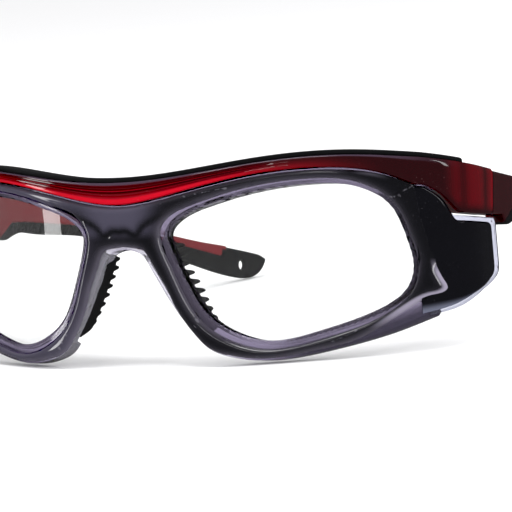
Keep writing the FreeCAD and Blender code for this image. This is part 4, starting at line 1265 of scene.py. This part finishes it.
@once("node_groups")
def moulded_surface(name):
    """How a moulded skin varies: roughness about a middle value, and the height of a fine grain and of slow waviness.
    Grain is noise at the given number of grains a metre; waviness is noise at one part in sixty of that."""
    inputs = [("Grains a metre", 4000.0), ("Grain height", 1.0), ("Wave height", 0.0), ("Roughness", 0.3)]
    inputs += [("Roughness spread", 0.05)]
    group, n = new_group(name, inputs, ["Roughness", "Height", "Mottle"])
    given = n.add("NodeGroupInput").outputs
    place = n.place()
    grain = n.noise(place, given["Grains a metre"], 2.0)
    slow_scale = n.math("DIVIDE", given["Grains a metre"], 60.0)
    slow = n.noise(place, slow_scale, 3.0)
    rough = n.math("MULTIPLY", n.math("SUBTRACT", slow, 0.5), given["Roughness spread"])
    height = n.math("MULTIPLY", grain, given["Grain height"])
    wave = n.math("MULTIPLY", slow, given["Wave height"])
    done = n.add("NodeGroupOutput")
    n.feed(n.math("ADD", given["Roughness"], rough, clamp=True), done.inputs["Roughness"])
    n.feed(n.math("ADD", height, wave), done.inputs["Height"])
    n.feed(slow, done.inputs["Mottle"])
    return group


@once("node_groups")
def handling_marks(name):
    """Signs of use as two masks. Dust is the peaks of fine noise, thinned by slow noise. Scuffs are the crests of
    noise stretched along the piece, kept where slow noise is high."""
    group, n = new_group(name, [("Dust", 0.3), ("Scuffs", 0.3)], ["Dust", "Scuffs"])
    given = n.add("NodeGroupInput").outputs
    place = n.place()
    specks = n.ramp(n.noise(place, 2600.0, 1.0), 0.70, 0.78)
    patches = n.ramp(n.noise(place, 90.0, 2.0), 0.42, 0.7)
    stretched = n.add("ShaderNodeMapping", {"Vector": place, "Scale": (900.0, 70.0, 1100.0)}).outputs[0]
    streaks = n.ramp(n.noise(stretched, 1.0, 2.0), 0.66, 0.74)
    areas = n.ramp(n.noise(place, 60.0, 2.0), 0.5, 0.68)
    done = n.add("NodeGroupOutput")
    n.feed(n.math("MULTIPLY", n.math("MULTIPLY", specks, patches), given["Dust"]), done.inputs["Dust"])
    n.feed(n.math("MULTIPLY", n.math("MULTIPLY", streaks, areas), given["Scuffs"]), done.inputs["Scuffs"])
    return group


@once("node_groups")
def edge_wear(name):
    """Where edges are rubbed: the convex edges found by pointiness, broken up by noise."""
    group, n = new_group(name, [("Amount", 0.4), ("Sharpness", 0.56)], ["Wear"])
    given = n.add("NodeGroupInput").outputs
    pointed = n.add("ShaderNodeNewGeometry").outputs["Pointiness"]
    edge = n.ramp(pointed, given["Sharpness"], n.math("ADD", given["Sharpness"], 0.08))
    broken = n.ramp(n.noise(n.place(), 700.0, 4.0), 0.35, 0.6)
    done = n.add("NodeGroupOutput")
    n.feed(n.math("MULTIPLY", n.math("MULTIPLY", edge, broken), given["Amount"]), done.inputs["Wear"])
    return group


# ---------------------------------------------------------------- materials
PALE_DUST = (0.9, 0.9, 0.92)


def new_material(name, **plain):
    """A material, Nodes on its tree, and its Principled shader's sockets, with the plain values set."""
    made = bpy.data.materials.new(name)
    made.use_nodes = True
    shader = made.node_tree.nodes["Principled BSDF"].inputs
    for label, value in plain.items():
        shader[label.replace("_", " ")].default_value = value
    return made, Nodes(made.node_tree), shader


@once("materials")
def crystal_plastic(name):
    """Clear plastic with a violet cast: light passes through, and slow waviness bends its reflections a little.
    Beside the nose it carries a painted glow, and along its lower margin painted shade.
    """
    f = finishes()
    made, n, shader = new_material(name, Transmission_Weight=0.8, IOR=1.5, Specular_IOR_Level=0.5)
    skin, marks = n.skin(1500.0, 0.15, 1.0, f.gloss, 0.04), n.marks(0.1, 0.3)
    # Painted glow beside the nose.
    body = n.mix(n.attribute("light"), n.mottled(skin, f.crystal, 0.72), tuple(f.flank))
    # Painted shade along the lower margin.
    body = n.mix(n.attribute("deep"), body, tuple(f.margin))
    body = n.mix(marks["Dust"], body, PALE_DUST)
    n.finish(shader, body, n.scuffed(skin["Roughness"], marks, 0.25), skin["Height"])
    return made


@once("materials")
def smoked_plastic(name):
    """Dark glossy plastic, with a painted glow at the bridge, a painted reflection on the wearer's right, and
    painted highlights on its edges.
    """
    f = finishes()
    made, n, shader = new_material(name, IOR=1.52, Specular_IOR_Level=0.55)
    skin, marks = n.skin(1800.0, 0.1, 1.0, f.gloss, 0.05), n.marks(0.1, 0.35)
    # Painted glow at the bridge and painted reflection on the wearer's right, mixed into the smoke colour.
    body = n.mix(n.attribute("painted_glow_and_reflection"), tuple(f.smoke), tuple(f.smoke_thin))
    uneven = n.math("ADD", n.math("MULTIPLY", skin["Mottle"], 0.25), 0.7)
    # Painted highlight along the edges and the corner ridge of the dark layer.
    body = n.mix(n.math("MULTIPLY", n.attribute("edge"), uneven, clamp=True), body, tuple(f.edge_light))
    body = n.mix(n.math("MAXIMUM", marks["Dust"], n.rubbed(0.25, 0.54)), body, (0.34, 0.33, 0.38))
    n.finish(shader, body, n.scuffed(skin["Roughness"], marks, 0.25), skin["Height"])
    return made


@once("materials")
def red_plastic(name):
    """Clear red plastic, deep red where it is thick, with a painted glow where light comes through the bead and a
    grey painted reflection along its top.
    """
    f = finishes()
    made, n, shader = new_material(name, IOR=1.5, Specular_IOR_Level=0.5)
    skin, marks = n.skin(1800.0, 0.1, 1.0, f.gloss, 0.05), n.marks(0.1, 0.3)
    uneven = n.math("ADD", n.math("MULTIPLY", skin["Mottle"], 0.5), 0.72)
    # Painted glow through the bar and its end blocks.
    glow = n.math("MULTIPLY", n.attribute("glow"), uneven, clamp=True)
    body = n.mix(glow, tuple(f.red_deep), tuple(f.red_bright))
    # Painted reflection along the top of the bar.
    body = n.mix(n.attribute("violet"), body, tuple(f.band))
    body = n.mix(marks["Dust"], body, (0.75, 0.45, 0.45))
    n.finish(shader, body, n.scuffed(skin["Roughness"], marks, 0.25), skin["Height"])
    return made


@once("materials")
def arm_red_plastic(name):
    """Red arm: matt brick red on the inner face, deep and glossy outside."""
    f = finishes()
    made, n, shader = new_material(name, IOR=1.5, Specular_IOR_Level=0.5)
    skin, marks = n.skin(5200.0, 0.5, 1.0, 0.3, 0.1), n.marks(0.08, 0.45)
    matt = n.attribute("matt")
    body = n.mix(matt, n.mottled(skin, f.red_deep, 1.5), tuple(f.red_matt))
    body = n.mix(n.math("MAXIMUM", marks["Dust"], n.rubbed(0.12, 0.57)), body, (0.4, 0.12, 0.12))
    rough = n.math("SUBTRACT", skin["Roughness"], n.math("MULTIPLY", n.math("SUBTRACT", 1.0, matt), 0.18))
    height = n.math("MULTIPLY", skin["Height"], n.math("ADD", matt, 0.2))
    n.finish(shader, body, n.scuffed(rough, marks, 0.2), height)
    return made


@once("materials")
def soft_plastic(name):
    """Soft-touch black: a fine matt grain, a faint bloom of sheen, rubbed edges, and painted shade in the grooves
    between the ribs.
    """
    f = finishes()
    made, n, shader = new_material(
        name, IOR=1.45, Specular_IOR_Level=0.14, Sheen_Weight=0.01, Sheen_Roughness=0.5
    )
    skin, marks = n.skin(6500.0, 1.0, 0.6, 0.52, 0.16), n.marks(0.12, 0.5)
    # Painted shade in the grooves between the ribs.
    painted_groove_shade = n.math("MULTIPLY", n.attribute("rib"), 0.8)
    body = n.mix(painted_groove_shade, n.mottled(skin, f.soft_black, 2.2), (0.001, 0.001, 0.001))
    body = n.mix(n.math("MAXIMUM", marks["Dust"], n.rubbed(0.12, 0.57)), body, (0.07, 0.07, 0.075))
    n.finish(shader, body, n.scuffed(skin["Roughness"], marks, -0.2), skin["Height"], deep=0.00004)
    return made


@once("materials")
def panel_plastic(name):
    """Black polished panel with light scuffs, which runs out to grey at its lower edge."""
    f = finishes()
    made, n, shader = new_material(name, IOR=1.52, Specular_IOR_Level=0.3)
    skin, marks = n.skin(1800.0, 0.1, 1.0, f.gloss, 0.06), n.marks(0.1, 0.5)
    body = n.mix(n.attribute("fade"), n.mottled(skin, f.panel_black, 2.0), tuple(f.blue_grey))
    body = n.mix(n.math("MAXIMUM", marks["Dust"], n.rubbed(0.25, 0.54)), body, (0.3, 0.29, 0.33))
    n.finish(shader, body, n.scuffed(skin["Roughness"], marks, 0.3), skin["Height"])
    return made


@once("materials")
def shield_plastic(name):
    """Clear shield with a cool cast, and faint dust."""
    f = finishes()
    made, n, shader = new_material(name, Transmission_Weight=0.95, IOR=1.5, Specular_IOR_Level=0.5)
    skin, marks = n.skin(1500.0, 0.1, 1.0, f.gloss, 0.05), n.marks(0.3, 0.4)
    body = n.mix(marks["Dust"], n.mottled(skin, f.shield, 0.8), PALE_DUST)
    n.finish(shader, body, n.scuffed(skin["Roughness"], marks, 0.2), skin["Height"])
    return made


@once("materials")
def lens_glass(name):
    """Clear polished lens: hardly any colour, with a little dust and a few hair scratches."""
    made, n, shader = new_material(name, Transmission_Weight=1.0, IOR=1.5, Specular_IOR_Level=0.12)
    skin, marks = n.skin(900.0, 0.05, 0.3, 0.012, 0.01), n.marks(0.12, 0.12)
    body = n.mix(skin["Mottle"], (0.985, 0.99, 0.985), (0.965, 0.975, 0.97))
    body = n.mix(marks["Dust"], body, (0.9, 0.9, 0.9))
    n.finish(shader, body, n.scuffed(skin["Roughness"], marks, 0.1))
    return made


@once("materials")
def satin_steel(name):
    """Satin steel of the hinges: turned marks as fine stretched noise, with brighter, rubbed edges."""
    f = finishes()
    made, n, shader = new_material(name, Metallic=1.0)
    skin, marks = n.skin(3000.0, 0.3, 0.5, 0.28, 0.14), n.marks(0.3, 0.8)
    turned = n.add("ShaderNodeMapping", {"Vector": n.place(), "Scale": (400.0, 400.0, 9000.0)}).outputs[0]
    lines = n.noise(turned, 1.0, 2.0)
    dark = tuple(0.6 * value for value in f.steel)
    body = n.mix(n.math("MULTIPLY", lines, skin["Mottle"]), tuple(f.steel), dark)
    body = n.mix(n.rubbed(0.6, 0.53), body, (0.7, 0.69, 0.68))
    height = n.math("ADD", skin["Height"], n.math("MULTIPLY", lines, 0.6))
    n.finish(shader, body, n.scuffed(skin["Roughness"], marks, 0.2), height, deep=0.00001)
    return made


@once("materials")
def pale_floor(name):
    """Plain pale floor with barely seen mottling."""
    made, n, shader = new_material(name, Specular_IOR_Level=0.1)
    skin = n.skin(900.0, 0.3, 0.3, 0.85, 0.1)
    n.finish(shader, n.mottled(skin, finishes().floor, 0.985), skin["Roughness"])
    return made


# ---------------------------------------------------------------- operators
class BuildStep:
    """What every build step shares: it runs its own build, and an error there stops the script."""

    bl_options = {"REGISTER"}

    def execute(self, context):
        self.build()
        return {"FINISHED"}


class SPECTACLES_OT_front(BuildStep, bpy.types.Operator):
    """Builds the clear layer of the front and the dark layer on it"""

    bl_idname = "spectacles.front"
    bl_label = "Front layers"

    def build(self):
        build_clear_layer()
        build_dark_layer()


class SPECTACLES_OT_brow_bar(BuildStep, bpy.types.Operator):
    """Builds the red bar along the brow"""

    bl_idname = "spectacles.brow_bar"
    bl_label = "Brow bar"

    def build(self):
        build_bar()


class SPECTACLES_OT_brow_strip(BuildStep, bpy.types.Operator):
    """Builds the soft strip on top of the bar"""

    bl_idname = "spectacles.brow_strip"
    bl_label = "Brow strip"

    def build(self):
        build_strip()


class SPECTACLES_OT_shields(BuildStep, bpy.types.Operator):
    """Builds the clear side shields and the dark panels on them"""

    bl_idname = "spectacles.shields"
    bl_label = "Side shields"

    def build(self):
        build_shields()


class SPECTACLES_OT_lenses(BuildStep, bpy.types.Operator):
    """Builds the two clear lenses"""

    bl_idname = "spectacles.lenses"
    bl_label = "Lenses"

    def build(self):
        build_lenses()


class SPECTACLES_OT_nose_pads(BuildStep, bpy.types.Operator):
    """Builds the finned nose pads"""

    bl_idname = "spectacles.nose_pads"
    bl_label = "Nose pads"

    def build(self):
        build_nose_pads()


class SPECTACLES_OT_arms(BuildStep, bpy.types.Operator):
    """Builds the red arms and their soft sleeves"""

    bl_idname = "spectacles.arms"
    bl_label = "Arms and sleeves"

    def build(self):
        build_arms()


class SPECTACLES_OT_hinges(BuildStep, bpy.types.Operator):
    """Gives the hinge plates and screws of the frame their satin steel"""

    bl_idname = "spectacles.hinges"
    bl_label = "Hinges"

    def build(self):
        for part in ("hinge_front", "hinge_arm", "hinge_screw"):
            for side in SIDES:
                slots = frame["nodes"][f"{part}_{side}"].data.materials
                slots.clear()
                slots.append(satin_steel())


class SPECTACLES_OT_stage(BuildStep, bpy.types.Operator):
    """Builds the pale floor, the soft studio light and the camera"""

    bl_idname = "spectacles.stage"
    bl_label = "Stage"

    def build(self):
        build_floor()
        build_world()
        build_lights()
        build_camera()


def build_floor():
    """A flat pale floor under the lowest point, drawn as a grid of nine squares."""
    half = bpy.context.scene.stage_sizes.floor_half
    edge = np.linspace(-half, half, 4)
    x, y = np.meshgrid(edge, edge)
    level = CAD_BOX[0].z - 0.2 * MM
    mesh = new_mesh("floor", np.stack([x, y, np.full(x.shape, level)], -1).reshape(-1, 3), grid_faces(4, 4))
    mesh.materials.append(pale_floor())
    floor = new_object("floor", mesh)
    floor.visible_glossy = False


def aim(place, target, up=(0.0, 0.0, 1.0)):
    """Matrix of something at place that looks at target: its own -Z towards it, its own Y as near up as may be."""
    back = (Vector(place) - Vector(target)).normalized()
    right = Vector(up).cross(back).normalized()
    matrix = Matrix.Identity(4)
    for row in range(3):
        matrix[row][0] = right[row]
        matrix[row][1] = back.cross(right)[row]
        matrix[row][2] = back[row]
        matrix[row][3] = place[row]
    return matrix


def build_world():
    """White surroundings. Each glossy bounce takes the same step off their strength, so that dark gloss stays dark
    and shows the soft boxes."""
    scene = bpy.context.scene
    scene.view_settings.view_transform = "Standard"
    world = bpy.data.worlds.new("studio")
    world.use_nodes = True
    n = Nodes(world.node_tree)
    background = world.node_tree.nodes["Background"].inputs
    background["Color"].default_value = (1.0, 1.0, 1.0, 1.0)
    bounces = n.add("ShaderNodeLightPath").outputs["Glossy Depth"]
    stage = scene.stage_sizes
    less = n.math("MULTIPLY", bounces, stage.surroundings - stage.reflected)
    n.feed(n.math("SUBTRACT", stage.surroundings, less), background["Strength"])
    scene.world = world


def build_lights():
    """Soft boxes, each aimed at the object: over the top, in front, to both sides and from behind."""
    boxes = [
        ("top_box", (-0.1, -0.25, 0.9), (0.7, 0.16), 4.0),
        ("left_box", (-0.8, -0.5, 0.3), (0.12, 0.9), 2.5),
        ("right_box", (0.9, -0.2, 0.4), (0.14, 0.8), 2.5),
        ("front_box", (0.3, -1.0, 0.8), (0.6, 0.05), 0.8),
        ("rear_box", (0.1, 0.8, 0.9), (0.9, 0.2), 1.5),
    ]
    for name, place, size, power in boxes:
        light = bpy.data.lights.new(name, "AREA")
        light.shape = "RECTANGLE"
        light.size, light.size_y = size
        light.energy = power
        box = new_object(name, light)
        box.matrix_world = aim(place, (0, 0, 0.02))
        box.visible_camera = False
        box.visible_transmission = False


def build_camera():
    """A long lens, placed as worn and laid down with the spectacles."""
    s = bpy.context.scene.stage_sizes
    a, e = s.azimuth, s.elevation
    back = np.array([math.sin(a) * math.cos(e), -math.cos(a) * math.cos(e), math.sin(e)])
    right = np.array([math.cos(a), math.sin(a), 0.0])
    up = np.cross(back, right)
    place = s.distance * back + s.slide * right
    stand = lay_down(np.array([place, place - back, place + up]))
    lens = bpy.data.cameras.new("camera")
    lens.lens = s.focal
    lens.sensor_width = 36.0  # millimetres
    lens.clip_start, lens.clip_end = 0.01, 100.0  # metres
    camera = new_object("camera", lens)
    camera.matrix_world = aim(stand[0], stand[1], stand[2] - stand[0])
    bpy.context.scene.camera = camera


# ---------------------------------------------------------------- panel and registration
STEPS = [
    SPECTACLES_OT_stage, SPECTACLES_OT_front, SPECTACLES_OT_brow_bar, SPECTACLES_OT_brow_strip, SPECTACLES_OT_shields,
    SPECTACLES_OT_lenses, SPECTACLES_OT_nose_pads, SPECTACLES_OT_arms, SPECTACLES_OT_hinges,
]
SETTINGS = {"front_sizes": FrontSizes, "arm_sizes": ArmSizes, "finishes": Finishes, "stage_sizes": StageSizes}


class SPECTACLES_PT_panel(bpy.types.Panel):
    """Lists the build steps and the sizes and colours that they read"""

    bl_idname = "SPECTACLES_PT_panel"
    bl_label = "Safety spectacles"
    bl_space_type = "VIEW_3D"
    bl_region_type = "UI"
    bl_category = "Spectacles"

    def draw(self, context):
        column = self.layout.column()
        for step in STEPS:
            column.operator(step.bl_idname)
        for name, group in SETTINGS.items():
            column.separator()
            for label in group.__annotations__:
                column.prop(getattr(context.scene, name), label)


def register():
    for group in SETTINGS.values():
        bpy.utils.register_class(group)
    for name, group in SETTINGS.items():
        setattr(bpy.types.Scene, name, bpy.props.PointerProperty(type=group))
    for step in STEPS:
        bpy.utils.register_class(step)
    bpy.utils.register_class(SPECTACLES_PT_panel)


def unregister():
    bpy.utils.unregister_class(SPECTACLES_PT_panel)
    for step in reversed(STEPS):
        bpy.utils.unregister_class(step)
    for name in SETTINGS:
        delattr(bpy.types.Scene, name)
    for group in SETTINGS.values():
        bpy.utils.unregister_class(group)


def main():
    register()
    for step in STEPS:
        group, name = step.bl_idname.split(".")
        getattr(getattr(bpy.ops, group), name)()


if __name__ == "__main__":
    main()
